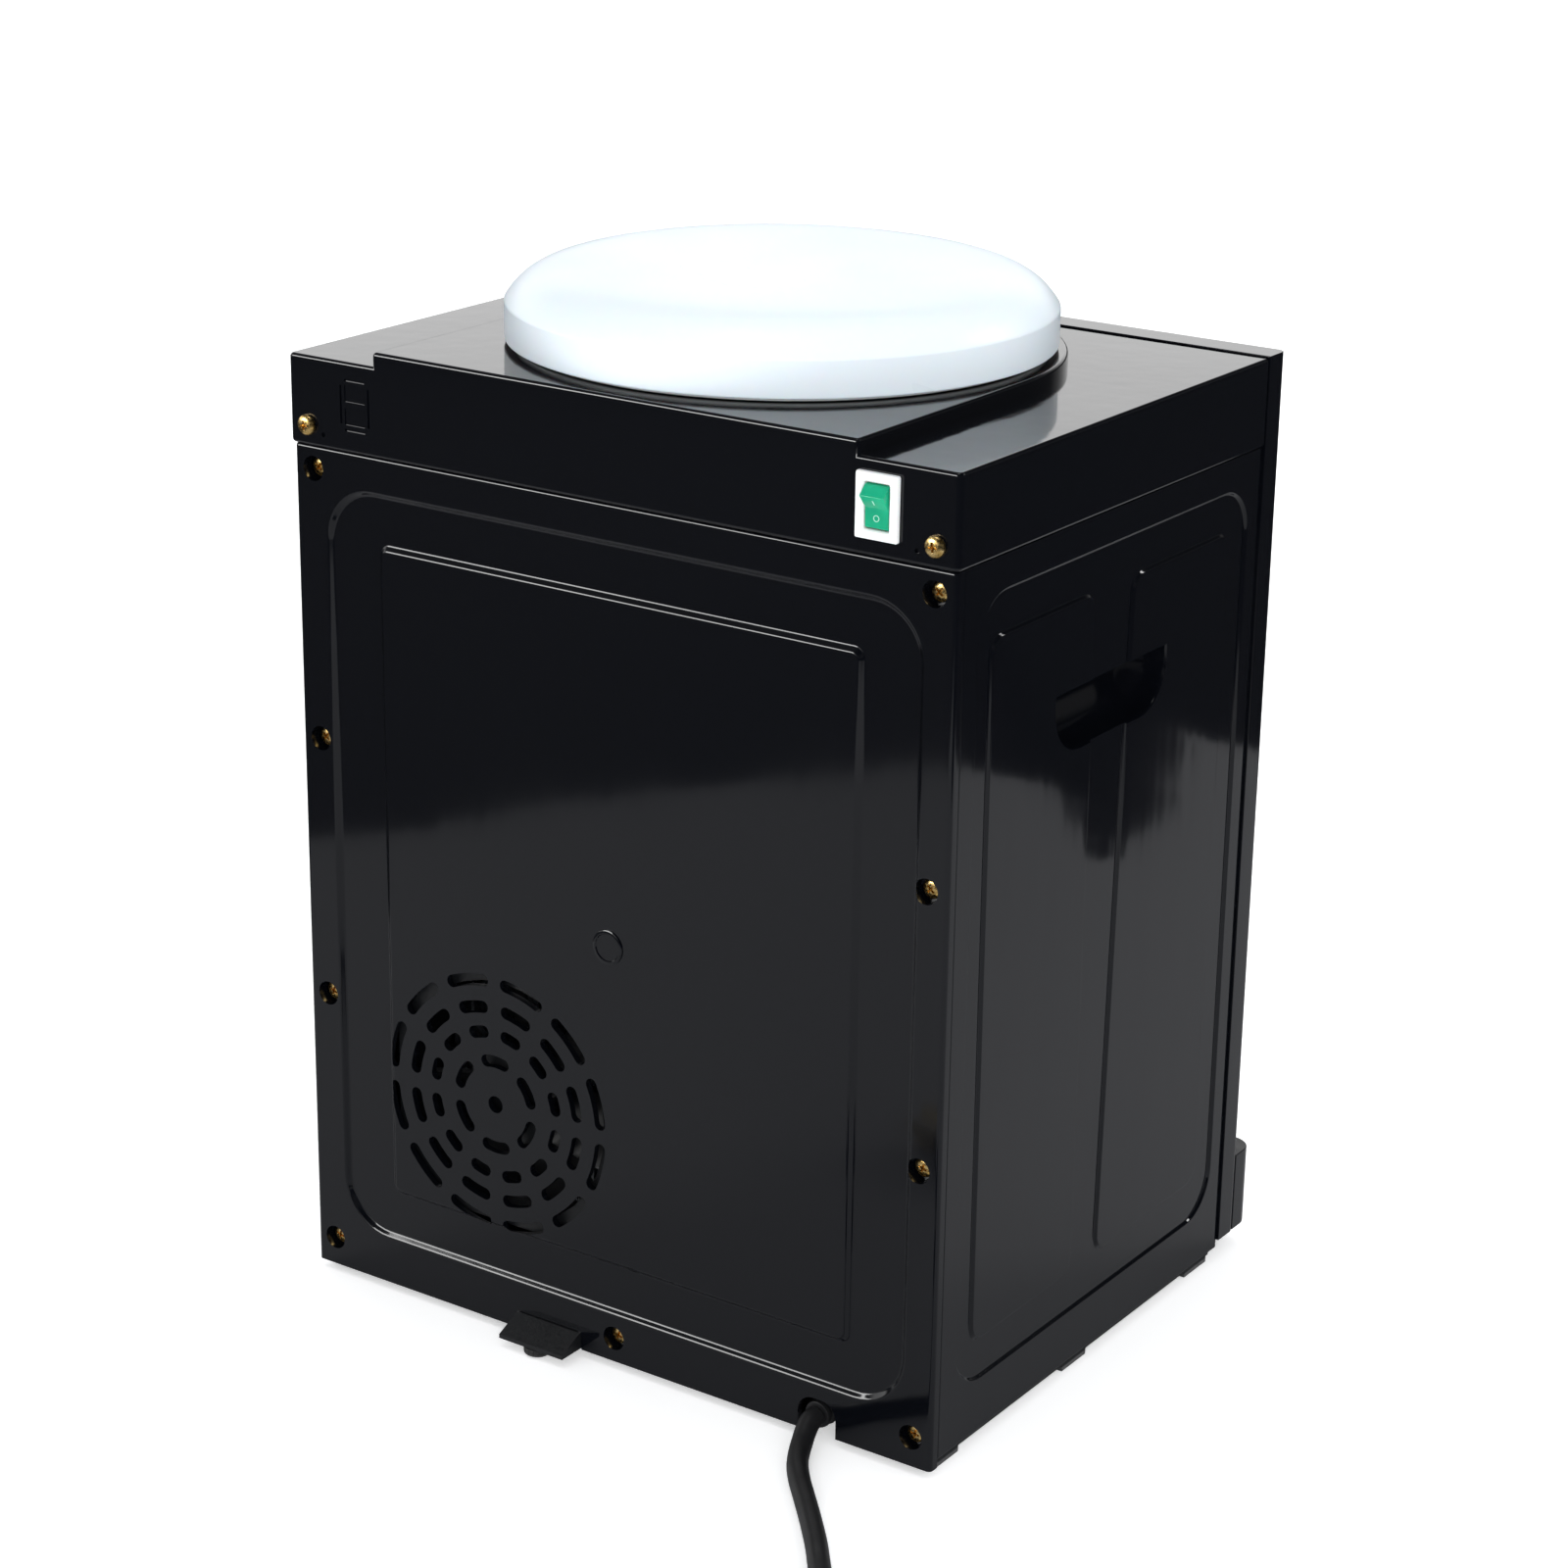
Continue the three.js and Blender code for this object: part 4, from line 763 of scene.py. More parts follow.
def make_rear_panel():
    panel = rear_shell()
    cut(panel, recess_tool("recess", REAR_RECESS, REAR_Y, 1, "y"))
    add(panel, raised_pad("plateau", lambda inset: inset_rectangle(REAR_PLATEAU, inset), REAR_Y, 1, "y"))
    rails = [block("rail", sorted((side * RAIL_X[0], side * RAIL_X[1])), (REAR_LOW.y, REAR_Y - 3),
                   (6.2, BODY_TOP_Z - 0.2)) for side in (-1, 1)]
    add(panel, joined(rails))
    cut(panel, block("hollow", around(0, 2 * RAIL_X[0] - 0.4), (90, REAR_Y - WALL), (2, BODY_TOP_Z + 1)))
    add(panel, block("screw_post", (-8, 8), (REAR_LOW.y, REAR_Y - 2), (6.2, 17.5)))
    boss = [(0, -2), (6, -2), (6, 0.35), (5.6, 0.6), (4.9, 0.6), (4.6, 0.2), (0, 0.2)]
    add(panel, turned("boss", [(radius, REAR_Y + rise) for radius, rise in boss], *BOSS, "y", 48))
    cut(panel, vent_tool())
    wells = []
    holes = []
    for x, z in rear_screw_places():
        wells.append(rod("well", 4.3, (SCREW_SEAT_Y - 0.3, REAR_Y + 2), x, z, "y", 40))
        holes.append(rod("hole", 2.1, (REAR_LOW.y - 2, SCREW_SEAT_Y + 1), x, z, "y", 24))
    cut(panel, joined(wells), joined(holes))
    drain = rounded_rectangle(DRAIN_NOTCH_X, (0, 9.8), (0.1, 0.1, 2, 2), 5)
    lead = rounded_rectangle(LEAD_NOTCH_X, (0, 15.5), (0.1, 0.1, 6, 6), 6)
    cut(panel, prism("drain_notch", drain, (90, 110), "y"), prism("lead_notch", lead, (90, 110), "y"))
    dress(finish_mesh(panel), GLOSS, "cabinet", "gloss_black", "rear_panel")


def grip_outline(inset, raised=0.0):
    """The grip's outline: flat on top, round below. Raised lifts and narrows its lower part."""
    corner = max((GRIP_CORNER - inset) * (1 - raised), 1.5)
    y = (GRIP_Y[0] + inset + 9 * raised, GRIP_Y[1] - inset - 9 * raised)
    z = (GRIP_Z[0] + inset + 16.5 * raised, GRIP_Z[1] - inset)
    return rounded_rectangle(y, z, (corner, corner, 0.6, 0.6), 12)


def scoop_rings(face, margin):
    """A quarter-round hollow that is flush at its lower lip and deepest under its top edge."""
    rings = [(grip_outline(-0.45 - margin), face + 1), (grip_outline(-0.45 - margin), face - 0.02),
             (grip_outline(-0.2 - margin), face - 0.45)]
    for step in range(11):
        depth = math.sin(math.radians(step * 9))
        raised = 1 - math.sqrt(1 - depth ** 2)
        rings.append((grip_outline(-margin, raised), face - 1.2 - (GRIP_DEPTH + margin - 1.2) * depth))
    return rings


def side_pad(corners):
    """The outline of a pad, drawn in by an inset, for the loft of its ramp."""
    middle = Vector((sum(u for u, v in corners) / 4, sum(v for u, v in corners) / 4))

    def outline(inset):
        drawn = []
        for u, v in corners:
            side_u = 1 if u < middle.x else -1
            side_v = 1 if v < middle.y else -1
            drawn.append((u + side_u * inset, v + side_v * inset))
        return softened(drawn, 7, 6)
    return outline


def make_side_panel(side, node):
    """Drawn for the +X side, and mirrored for the other."""
    face = SIDE_X
    outline = rounded_rectangle((SIDE_LOW.y, SIDE_SEAM_Y), (SIDE_LOW.z, BODY_TOP_Z), 0.4, 3)
    panel = prism(node + "_shell", outline, (face - WALL, face), "x")
    round_edges(panel, 0.5, 3)
    cut(panel, recess_tool("recess", SIDE_RECESS, face, 1, "x", **SIDE_RELIEF))
    for corners in (SIDE_REAR_PAD, SIDE_FRONT_PAD):
        add(panel, raised_pad("pad", side_pad(corners), face, 1, "x", **SIDE_RELIEF))
    add(panel, loft("pocket", scoop_rings(face, 2)[3:], "x"))
    cut(panel, loft("scoop", scoop_rings(face, 0), "x"))
    bosses = [block("boss", (117, face - WALL + 0.5), (84, 97), around(z, 10)) for z in SCREW_ROWS]
    add(panel, joined(bosses))
    if side < 0:
        panel.data.transform(Matrix.Scale(-1, 4, (1, 0, 0)))
        panel.data.flip_normals()
    dress(finish_mesh(panel), GLOSS, "cabinet", "gloss_black", node)


def platform_outline(inset):
    """Half a circle round the seat, with straight sides back to the rear."""
    half = PLATFORM_R - inset
    rear_y = COVER_HIGH.y - inset
    return arc((0, SEAT_Y), half, 180, 360, 48) + [(half, rear_y), (-half, rear_y)]


def make_top_cover():
    rear_y = COVER_HIGH.y
    front_y = COVER_LOW.y
    outline = rounded_rectangle((COVER_LOW.x, COVER_HIGH.x), (front_y, rear_y), (1.4, 1.4, 2, 2), 6)
    cover = prism("top_cover_shell", outline, (COVER_LOW.z, COVER_TOP_Z), "z")
    platform = prism("platform", platform_outline(0.001), (COVER_TOP_Z - 4, PLATFORM_TOP_Z), "z")
    round_edges(cover, COVER_EDGE_R, 5)
    round_edges(platform, COVER_EDGE_R, 5)
    add(cover, platform)
    inner = block("inner", (COVER_LOW.x + WALL, COVER_HIGH.x - WALL), (front_y + WALL, rear_y - WALL),
                  (COVER_LOW.z - 1, COVER_TOP_Z - WALL))
    cut(cover, inner, rod("opening", OPENING_R, (COVER_LOW.z, PLATFORM_TOP_Z + 1), 0, SEAT_Y, "z", 96))
    cut(cover, block("switch_hole", around(BEZEL_X, 12.9), (rear_y - 5, rear_y + 2), around(BEZEL_Z, 18.6)))
    cut(cover, blank_tool(-BEZEL_X, BEZEL_Z, rear_y))
    tools = []
    for side in (-1, 1):
        screw = (side * COVER_SCREW[0], COVER_SCREW[1])
        dimple = (side * DIMPLE[0], DIMPLE[1])
        tools.append(rod("screw_hole", 2.1, (rear_y - 5, rear_y + 2), *screw, "y", 24))
        tools.append(rod("dimple", 0.9, (rear_y - 0.8, rear_y + 2), *dimple, "y", 16))
    cut(cover, joined(tools))
    dress(finish_mesh(cover), GLOSS, "cabinet", "gloss_black", "top_cover")


def blank_tool(x, z, rear_y):
    """The blank for a second switch: a sunk rectangle parted by small bridges."""
    slots = []
    for side in (-1, 1):
        slots.append(block("slot", around(x + side * 5.9, 0.8), (rear_y - 0.5, rear_y + 2), around(z, 13)))
        slots.append(block("slot", around(x, 8.6), (rear_y - 0.5, rear_y + 2), around(z + side * 8.4, 0.8)))
        slots.append(block("slot", around(x, 8.6), (rear_y - 0.3, rear_y + 2), around(z + side * 3.9, 5.6)))
    return joined(slots)


def make_front_panel():
    """Curved-edged front with a cup bay, a fascia for the lamps and a shallow frame round the bay."""
    top = FRONT_HIGH.z
    bottom = FRONT_LOW.z
    front = FRONT_LOW.y
    x = (FRONT_LOW.x, FRONT_HIGH.x)
    plan = rounded_rectangle(x, (front, FRONT_SEAM_Y), (3.2, 3.2, 0.2, 0.2), 8)
    panel = prism("front_panel_shell", plan, (bottom, top), "z")
    round_edges(panel, 1)
    cut(panel, block("inner", (x[0] + WALL, x[1] - WALL), (front + WALL, FRONT_SEAM_Y + 1),
                     (bottom + WALL, top - WALL)))
    bay_back = FRONT_HIGH.y - WALL
    wall = rounded_rectangle((-98.5, 98.5), (bottom, 268.5), (0.5, 0.5, 14.5, 14.5), 10)
    add(panel, prism("bay_wall", wall, (front + 1, FRONT_HIGH.y), "y"))
    frame_shape = {"u": (-112, 112), "v": (14, 278), "radius": 22}
    fascia_shape = {"u": (-112, 112), "v": (285, 328), "radius": 10}
    cut(panel, recess_tool("bay_frame", frame_shape, front, -1, "y"))
    cut(panel, recess_tool("fascia", fascia_shape, front, -1, "y"))
    bay = rounded_rectangle((-96, 96), (bottom + WALL, 266), (0.5, 0.5, 12, 12), 10)
    cut(panel, prism("bay", bay, (front - 2, bay_back), "y"))
    through = (bay_back - 1, bay_back + 4)
    holes = [rod("tap_hole", 7.3, through, side * TAP_X, TAP_Z, "y") for side in (-1, 1)]
    for lamp in ("power_lamp", "cooling_lamp"):
        low, high = node_box(lamp)
        middle = (low + high) / 2
        holes.append(rod("lamp_hole", 2.8, (front - 1, front + 4), middle.x, middle.z, "y", 24))
    cut(panel, joined(holes))
    dress(finish_mesh(panel), GLOSS, "cabinet", "gloss_black", "front_panel")


# ---------------------------------------------------------------- seat, dust cover and probe
def crown(radius, rise, base):
    """From the skirt to the middle: it turns in sharply near the skirt, then is nearly flat."""
    shares = [1, 0.996, 0.99, 0.982, 0.972, 0.96, 0.945, 0.928, 0.908, 0.885, 0.858, 0.825, 0.785, 0.735,
              0.67, 0.59, 0.5, 0.4, 0.3, 0.2, 0.1, 0]
    return [(radius * share, base + rise * (1 - share ** 12)) for share in shares]


def make_dust_cover():
    """A shallow lid with a crease where its skirt meets the crown."""
    radius = DUST_HIGH.x
    bottom = DUST_LOW.z
    crease = CREASE_Z
    rise = DUST_HIGH.z - crease
    wall = 2.2
    outer = [(radius - 0.5, bottom), (radius - 0.1, bottom + 0.3), (radius, bottom + 0.9),
             (radius, crease - 0.5)]
    outer += crown(radius - 0.1, rise, crease)
    inner = crown(radius - wall, rise - wall, crease)
    inner.reverse()
    inner += [(radius - wall, 346), (86, 346), (86, 343.7), (radius - wall, 343.7), (radius - wall, bottom)]
    lid = turned("dust_cover_lid", outer + inner + [outer[0]], 0, SEAT_Y, "z", 160)
    dress(finish_mesh(lid, 0, smooth_angle=24), COVER_WHITE, "dust_cover", "cover_white", "dust_cover")


def make_bottle_seat():
    """Flange, raised rim and funnel."""
    flange = SEAT_LOW.z
    flange_z = PLATFORM_TOP_Z + 0.3
    profile = softened([
        (28.5, flange), (31, flange), (76, 322), (76, flange_z), (88.6, flange_z), (88.6, flange_z + 2.5),
        (84, flange_z + 2.5), (84, SEAT_HIGH.z), (81.5, SEAT_HIGH.z), (81.5, flange_z + 1), (73.5, flange_z),
        (73.5, 323), (28.5, flange + 1),
    ], 1.0)
    seat = turned("bottle_seat_funnel", profile, 0, SEAT_Y, "z", 128)
    dress(finish_mesh(seat, 0, smooth_angle=35), SEAT_WHITE, "bottle_seat", "seat_white", "bottle_seat")
    low, high = SOCKET_LOW.z, SOCKET_HIGH.z
    cup_profile = [(6, low), (31, low), (31, high), (28.5, high), (28.5, low + WALL), (6, low + WALL)]
    cup = turned("neck_socket_cup", softened(cup_profile, 0.7), 0, SEAT_Y, "z", 96)
    dress(finish_mesh(cup, 0, smooth_angle=35), SEAT_WHITE, "bottle_seat", "seat_white", "neck_socket")
    foot = PROBE_FOOT_Z
    probe_profile = [(5, foot), (14, foot), (14, foot + 2), (8, foot + 4), (8, 292), (5.5, 299),
                     (0.01, 300), (0.01, 297), (5, 291)]
    probe = turned("bottle_probe_needle", softened(probe_profile, 0.8), 0, SEAT_Y, "z", 64)
    for middle, through, axis in ((0, SEAT_Y, "y"), (SEAT_Y, 0, "x")):
        window = rounded_rectangle(around(middle, 4), (272, 287), 2, 6)
        cut(probe, prism("window", window, around(through, 24), axis))
    dress(finish_mesh(probe, 0.25, 2), SEAT_WHITE, "bottle_seat", "seat_white", "bottle_probe")


# ---------------------------------------------------------------- switch and lamps
def make_switch():
    x, z = BEZEL_X, BEZEL_Z
    face = BEZEL_HIGH.y
    flange = COVER_HIGH.y + 0.3
    shape = {"u": around(x, 15.3), "v": around(z, 20.8), "radius": 0.7}
    bezel = loft("switch_bezel", [
        (inset_rectangle(shape, 0), flange), (inset_rectangle(shape, 0), face - 0.7),
        (inset_rectangle(shape, 0.25), face - 0.2), (inset_rectangle(shape, 0.8), face),
    ], "y")
    add(bezel, block("snap_body", around(x, 12.3), (86, flange + 0.5), around(z, 18)))
    tabs = [block("tab", around(x + side * 3, 0.8), (79, 87), around(z, 4)) for side in (-1, 1)]
    add(bezel, joined(tabs))
    opening = {"u": around(x, 9.1), "v": around(z, 14.5), "radius": 0.5}
    cut(bezel, loft("opening", [
        (inset_rectangle(opening, -0.5), face + 1), (inset_rectangle(opening, -0.5), face - 0.05),
        (inset_rectangle(opening, -0.1), face - 0.5), (inset_rectangle(opening, 0), face - 0.9),
        (inset_rectangle(opening, 0), 93),
    ], "y"))
    dress(finish_mesh(bezel, 0.12, 2), BEZEL_WHITE, "cabinet", "bezel_white", "switch_housing")
    pivot = 104.5
    radius = 6.95
    valley, crest = (1.9, -0.5), (5.3, 3.6)
    points = [valley, crest] + arc((0, 0), radius, 70.6, 120, 10) + arc((0, 0), radius, 240, 284.1, 10)
    outline = [(pivot + u, z + v) for u, v in points]
    rocker = prism("switch_rocker_key", outline, around(x, 8.4), "x")
    dress(finish_mesh(rocker, 0.3, 3, 30), GREEN, "switch_rocker", "switch_green", "switch_rocker")
    make_rocker_marks(x, z, pivot)


def make_rocker_marks(x, z, pivot):
    """The usual bar for on and ring for off, a fraction of a millimetre proud of the two faces."""
    bar = block("mark", around(0, 0.4), (-0.05, 0.06), around(0, 2))
    tilt = Matrix.Rotation(-math.atan2(3.4, 4.1), 4, "X")
    bar.data.transform(Matrix.Translation((x, pivot + 3.6, z + 1.55)) @ tilt)
    ring = turned("mark", [(0.8, -0.05), (1.05, -0.05), (1.05, 0.06), (0.8, 0.06)], 0, 0, "y", 32)
    ring.data.transform(Matrix.Translation((x, pivot + 1.8, z - 3.6)))
    marks = finish_mesh(joined([bar, ring]))
    marks.name = "switch_rocker_marks"
    dress(marks, MARK_WHITE, "switch_rocker", "switch_green")


def make_lamps():
    lamps = (("power_lamp", LAMP_RED, "lamp_red"), ("cooling_lamp", LAMP_GREEN, "lamp_green"))
    for node, material, slot in lamps:
        low, high = node_box(node)
        middle = (low + high) / 2
        dome = []
        for step in range(7):
            turn = math.radians(step * 15)
            dome.append((2.5 * math.sin(turn), low.y + 1.6 * (1 - math.cos(turn))))
        lens = turned(node + "_lens", dome + [(2.5, high.y), (0, high.y)], middle.x, middle.z, "y", 32)
        dress(finish_mesh(lens), material, "cabinet", slot, node)


# ---------------------------------------------------------------- screws
def make_screw(name, x, z, seat_y):
    """A pan-head screw with a cross recess."""
    profile = [(0, seat_y - 13), (0.5, seat_y - 12), (1.6, seat_y - 10), (1.6, seat_y), (HEAD_R, seat_y)]
    profile += [(HEAD_R, seat_y + 0.5)]
    for index in range(1, 8):
        angle = math.radians(index * 90 / 7)
        radius = HEAD_R * math.cos(angle) ** 0.75 if index < 7 else 0
        profile.append((radius, seat_y + 0.5 + 1.7 * math.sin(angle)))
    screw = turned(name + "_head", profile, x, z, "y", 40)
    turn = math.radians(37 * (abs(x) + z) % 90)
    arms = []
    for quarter in (0, math.pi / 2):
        arm = loft("arm", [(rounded_rectangle((-0.25, 0.25), (-0.9, 0.9), 0.05, 2), seat_y + 0.5),
                           (rounded_rectangle((-0.5, 0.5), (-2, 2), 0.1, 2), seat_y + 3)], "y")
        arm.data.transform(Matrix.Translation((x, 0, z)) @ Matrix.Rotation(turn + quarter, 4, "Y"))
        arms.append(arm)
    cut(screw, *arms)
    dress(finish_mesh(screw, 0.08, 2), GOLD, "cabinet", "gold_zinc", name)


def make_screws():
    for index, (x, z) in enumerate(rear_screw_places(), 1):
        make_screw(f"rear_screw_{index}", x, z, SCREW_SEAT_Y)
    for index, side in enumerate((-1, 1), 1):
        make_screw(f"cover_screw_{index}", side * COVER_SCREW[0], COVER_SCREW[1], COVER_SCREW_SEAT_Y)


# ---------------------------------------------------------------- taps
def make_tap(side, name, lever_material, lever_slot):
    x = side * TAP_X
    spout_y, axis_z, pivot_z = SPOUT_Y, TAP_Z, LEVER_Z
    body = turned(name + "_tap_valve", softened([
        (4, -28), (7, -28), (7, -42.6), (12, -42.6), (12, -46), (9.6, -48), (9, -66), (4, -66),
    ], 0.9), x, axis_z, "y", 48)
    stem = [(4, 168), (6, 168), (6, 180), (8, 184), (8, 205), (6.5, 207), (0.01, 207), (0.01, 182), (4, 182)]
    spout = turned("spout", softened(stem, 0.8), x, spout_y, "z", 48)
    add(body, spout)
    ears = []
    for sign in (-1, 1):
        top = arc((spout_y, pivot_z), 4.4, 180, 0, 12)
        ear = [(spout_y - 4.4, axis_z)] + top + [(spout_y + 4.4, axis_z)]
        ears.append(prism("ear", ear, sorted((x + sign * 6.6, x + sign * 8.6)), "x"))
    add(body, *ears)
    cut(body, rod("pivot_hole", 1.8, (x - 9, x + 9), spout_y, pivot_z, "x", 20))
    dress(finish_mesh(body, 0.3, 2), MATTE, "cabinet", "matte_black", name + "_tap_body")
    make_lever(x, name, lever_material, lever_slot)


def make_lever(x, name, material, slot):
    """A thumb paddle that widens and dips towards its tip, on a pin."""
    spout_y, pivot_z = SPOUT_Y, LEVER_Z
    stations = ((4, 6.2, -1.1, 2.4), (0, 6.2, -1.3, 2.8), (-6, 6.2, -0.6, 3.4), (-12, 8.2, 0.5, 4.2),
                (-18, 10.6, 0.7, 4.1), (-24, 11, 0.6, 3.4), (-27, 9.2, 1, 2.8))
    rings = []
    for reach, half, low, top in stations:
        edge = min(1.4, (top - low) / 2.2)
        outline = rounded_rectangle((x - half, x + half), (pivot_z + low, pivot_z + top), edge, 5)
        rings.append((outline, spout_y + reach))
    lever = loft(name + "_tap_paddle", rings, "y")
    add(lever, rod("pin", 1.4, (x - 8.6, x + 8.6), spout_y, pivot_z, "x", 24))
    ridges = [rod("ridge", 0.5, (x - 7, x + 7), spout_y - reach, pivot_z + height, "x", 12)
              for reach, height in ((16, 4.1), (18.5, 4.05), (21, 3.8))]
    add(lever, *ridges)
    dress(finish_mesh(lever, 0.3, 3), material, name + "_tap_lever", slot, name + "_tap_lever")


# ---------------------------------------------------------------- drip tray, grate and drain knob
def make_drip_tray():
    bottom, top = TRAY_LOW.z, TRAY_HIGH.z
    lip_rear = FRONT_LOW.y - 0.5
    outline = rounded_rectangle((TRAY_LOW.x, TRAY_HIGH.x), (TRAY_LOW.y, lip_rear), (8, 8, 0.3, 0.3), 10)
    tray = prism("drip_tray_shell", outline, (bottom, top), "z")
    add(tray, block("basin", (-94, 94), (lip_rear - 1, -44), (FRONT_LOW.z + WALL + 0.6, top - 0.5)))
    basin_y = (TRAY_LOW.y + WALL, -46.2)
    seat = rounded_rectangle((-91.5, 91.5), basin_y, 3, 5)
    well = rounded_rectangle((-88, 88), (basin_y[0] + 3, basin_y[1] - 3), 5, 5)
    cut(tray, prism("grate_seat", seat, (32, 45), "z"), prism("well", well, (14, 33), "z"))
    hollows = []
    for x in ((-127.4, -97), (97, 127.4)):
        hollows.append(block("hollow", x, (TRAY_LOW.y + WALL + 1, lip_rear + 1), (10.5, top - WALL)))
    cut(tray, joined(hollows))
    dress(finish_mesh(tray, 0.8, 3), GLOSS, "drip_tray", "gloss_black", "drip_tray")


def make_drip_grate():
    y = (GRATE_LOW.y, GRATE_HIGH.y)
    outline = rounded_rectangle((GRATE_LOW.x, GRATE_HIGH.x), y, 2.6, 5)
    grate = prism("drip_grate_plate", outline, (32.3, 35.8), "z")
    slots = []
    for index in range(-9, 10):
        slot = rounded_rectangle(around(index * 9, 4.6), (y[0] + 7, y[1] - 7), 2.25, 6)
        slots.append(prism("slot", slot, (30, 40), "z"))
    cut(grate, joined(slots))
    dress(finish_mesh(grate, 0.5, 3), MATTE, "drip_grate", "matte_black", "drip_grate")


def make_drain_knob():
    middle = (KNOB_LOW + KNOB_HIGH) / 2
    profile = [(0.01, 0.5), (4.2, 0.5), (4.9, 1.1), (4.9, 3.1), (2.8, 3.4), (2.8, 4.6), (0.01, 4.6)]
    knob = turned("drain_knob_cap", softened(profile, 0.3), middle.x, middle.y, "z", 48)
    grooves = []
    for index in range(16):
        spot = arc((middle.x, middle.y), 5.1, index * 22.5, index * 22.5, 1)[0]
        grooves.append(rod("groove", 0.45, (0.9, 3.6), *spot, "z", 10))
    cut(knob, joined(grooves))
    dress(finish_mesh(knob, 0.08, 2), RUBBER, "drain_knob", "rubber_black", "drain_knob")


# ---------------------------------------------------------------- carried-over CAD nodes
def dress_cad_nodes():
    finishes = {
        "base_plate": MATTE, "inlet_cup": SEAT_WHITE, "cold_tank": SEAT_WHITE, "tank_lid": SEAT_WHITE,
        "tank_insulation": FOAM, "cold_block": ALUMINIUM, "peltier_module": CERAMIC, "heat_sink": ALUMINIUM,
        "fan_frame": MATTE, "fan_rotor": MATTE, "power_board": BOARD, "transformer": STEEL,
        "cold_tap_nut": SEAT_WHITE, "room_tap_nut": SEAT_WHITE, "cold_feed_hose": SILICONE,
        "cold_tap_hose": SILICONE, "room_tap_hose": SILICONE, "drain_hose": SILICONE, "drain_pipe": MATTE,
    }
    for node, material in finishes.items():
        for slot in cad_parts[node].material_slots:
            slot.material = material


# ---------------------------------------------------------------- floor and light
def make_floor():
    """A wide pale floor, lifted a little so that it reads as white."""
    material = new_material("floor_white", (0.93, 0.93, 0.935), 0.55, Specular_IOR_Level=0.0,
                            Emission_Color=(1, 1, 1, 1), Emission_Strength=0.42)

    def build(shape):
        bmesh.ops.create_grid(shape, x_segments=1, y_segments=1, size=6)
    floor = solid_from("floor", build)
    floor.data.materials.append(material)


def make_reflected_floor():
    """What glossy surfaces see of the floor: a grey table top, and the unlit room past its edge."""
    corners = [(0.45, 0.40), (0.39, 0.50), (0.36, 0.57), (0.25, 0.69), (-0.10, 0.85), (-0.72, 0.80),
               (-0.80, -0.30), (-0.56, -0.50), (-0.43, -0.50), (-0.37, -0.42), (-0.385, -0.52),
               (-0.43, -0.62), (-0.30, -0.60), (0.10, -0.58), (0.47, -0.45)]
    height = 0.0015
    scatter = random.Random(7)
    edge = []
    for index, start in enumerate(corners):
        end = Vector(corners[(index + 1) % len(corners)])
        for step in range(6):
            point = Vector(start).lerp(end, step / 6)
            edge.append((point.x + scatter.uniform(-0.006, 0.006), point.y + scatter.uniform(-0.006, 0.006)))

    def build(shape):
        near = [shape.verts.new((x, y, height)) for x, y in edge]
        far = [shape.verts.new((x * 12, y * 12, height)) for x, y in edge]
        shape.faces.new(near)
        for index in range(len(edge)):
            after = (index + 1) % len(edge)
            room = shape.faces.new((near[index], near[after], far[after], far[index]))
            room.material_index = 1
    card = solid_from("reflected_floor", build)
    card.data.materials.append(new_material("reflected_table", (0.42, 0.42, 0.43), 0.9))
    card.data.materials.append(new_material("reflected_room", (0.012, 0.012, 0.015), 0.9))
    card.visible_camera = False
    card.visible_diffuse = False
    card.visible_shadow = False
    card.visible_transmission = False


def make_light(name, place, aim, size, power, reflected=True, diffuse=True):
    data = bpy.data.lights.new(name, "AREA")
    data.shape = "RECTANGLE"
    data.size, data.size_y = size
    data.energy = power
    light = bpy.data.objects.new(name, data)
    light.location = place
    light.visible_glossy = reflected
    light.visible_diffuse = diffuse
    light.rotation_euler = (Vector(aim) - Vector(place)).to_track_quat("-Z", "Y").to_euler()
    bpy.context.scene.collection.objects.link(light)


def background(nodes, color, strength):
    node = nodes.new("ShaderNodeBackground")
    node.inputs["Color"].default_value = color
    node.inputs["Strength"].default_value = strength
    return node


def chosen(nodes, links, choice, plain, other):
    """The plain shader, or the other one where the choice is 1."""
    node = nodes.new("ShaderNodeMixShader")
    links.new(choice, node.inputs["Fac"])
    links.new(plain.outputs[0], node.inputs[1])
    links.new(other.outputs[0], node.inputs[2])
    return node


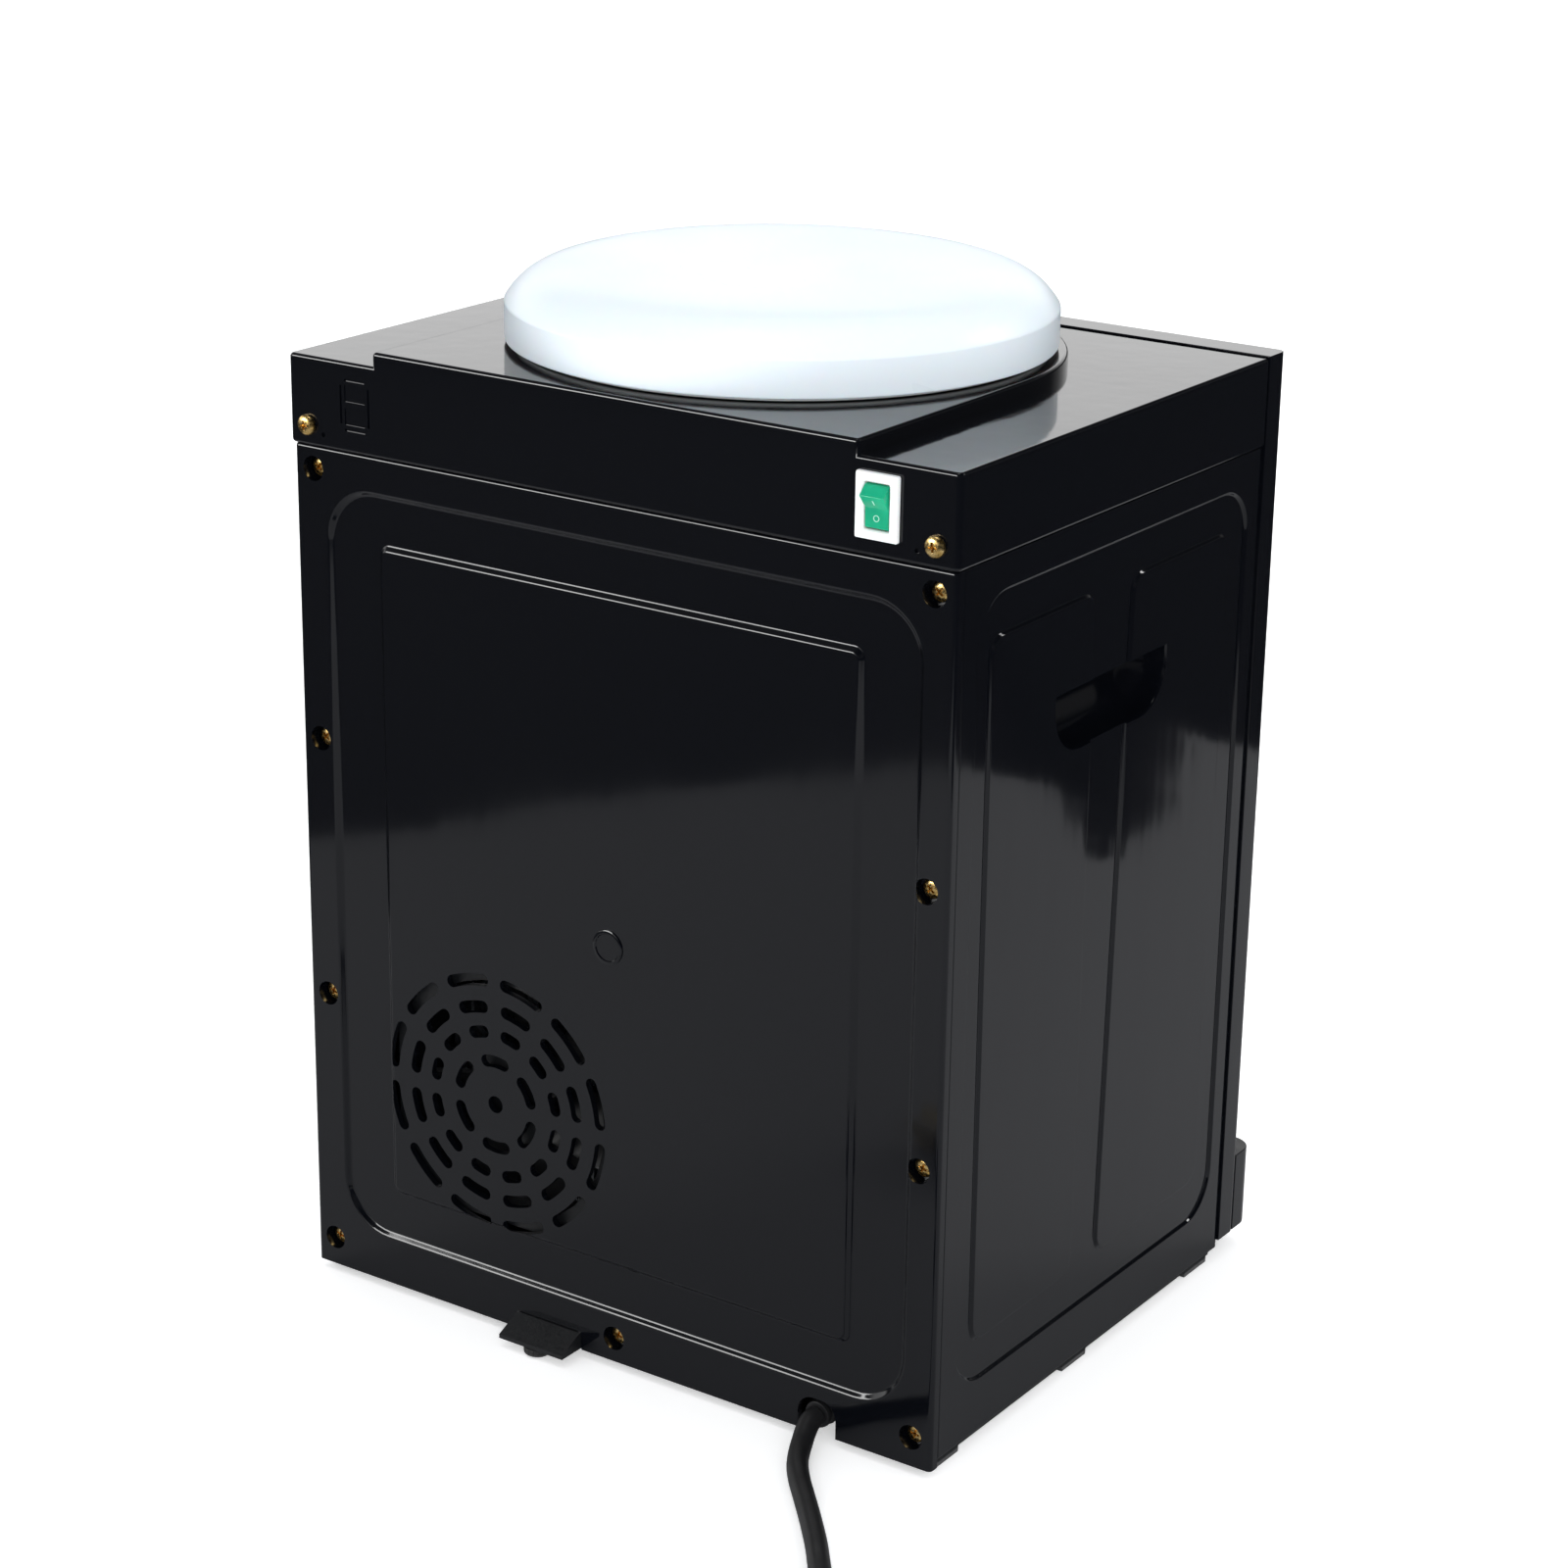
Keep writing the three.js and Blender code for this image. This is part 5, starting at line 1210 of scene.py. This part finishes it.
def make_world():
    """White to the camera; soft and even for diffuse light; dark at the horizon for reflections."""
    world = bpy.data.worlds.new("studio")
    bpy.context.scene.world = world
    world.use_nodes = True
    nodes, links = world.node_tree.nodes, world.node_tree.links
    nodes.clear()
    output = nodes.new("ShaderNodeOutputWorld")
    path = nodes.new("ShaderNodeLightPath")
    place = nodes.new("ShaderNodeTexCoord")
    split = nodes.new("ShaderNodeSeparateXYZ")
    ramp = nodes.new("ShaderNodeValToRGB")
    stops = ((0.0, 0.02), (0.06, 0.05), (0.13, 1.0), (0.36, 1.0), (0.47, 0.12), (1.0, 0.06))
    elements = ramp.color_ramp.elements
    while len(elements) < len(stops):
        elements.new(0.5)
    for element, (position, value) in zip(elements, stops):
        element.position = position
        element.color = (value, value, value, 1)
    links.new(place.outputs["Generated"], split.inputs["Vector"])
    links.new(split.outputs["Z"], ramp.inputs["Fac"])
    across = remapped(nodes, links, split.outputs["X"], -0.2, 0.4, 0.1, 1.6)
    across.interpolation_type = "SMOOTHSTEP"
    glossy = nodes.new("ShaderNodeBackground")
    links.new(across.outputs["Result"], glossy.inputs["Strength"])
    links.new(ramp.outputs["Color"], glossy.inputs["Color"])
    even = background(nodes, (0.97, 0.985, 1, 1), 0.76)
    seen = background(nodes, (1, 1, 1, 1), 1.05)
    indirect = chosen(nodes, links, path.outputs["Is Glossy Ray"], even, glossy)
    final = chosen(nodes, links, path.outputs["Is Camera Ray"], indirect, seen)
    links.new(final.outputs[0], output.inputs["Surface"])


def make_stage():
    make_floor()
    make_reflected_floor()
    make_world()
    make_light("overhead", (0.1, 0.2, 1.9), (0, 0, 0.2), (0.7, 0.7), 3)
    make_light("rear_window", (1.1, 1.6, 1.0), (0, 0, 0.3), (1.2, 0.7), 32, diffuse=False)
    make_light("side_window", (-1.2, -1.6, 1.6), (0, 0, 0.3), (0.4, 0.4), 6)
    make_light("front_window", (1.0, -1.4, 2.0), (0, 0, 0.3), (0.8, 0.8), 14, reflected=False)
    make_light("fill", (-1.2, 1.7, 0.7), (0, 0, 0.3), (1.2, 0.8), 20, reflected=False)
    bpy.context.scene.view_settings.view_transform = "Standard"
    bpy.context.scene.view_settings.look = "None"


# ---------------------------------------------------------------- assembly
make_camera()
LEAD, LEAD_EXIT = make_cord()
PLUG, PLUG_BLADES = make_plug()
SLEEVE = make_strain_relief()

make_rear_panel()
make_side_panel(-1, "left_side_panel")
make_side_panel(1, "right_side_panel")
make_top_cover()
make_front_panel()
make_dust_cover()
make_bottle_seat()
make_switch()
make_lamps()
make_screws()
make_tap(1, "cold", TAP_BLUE, "tap_blue")
make_tap(-1, "room", TAP_WHITE, "tap_white")
make_drip_tray()
make_drip_grate()
make_drain_knob()
dress_cad_nodes()
make_stage()
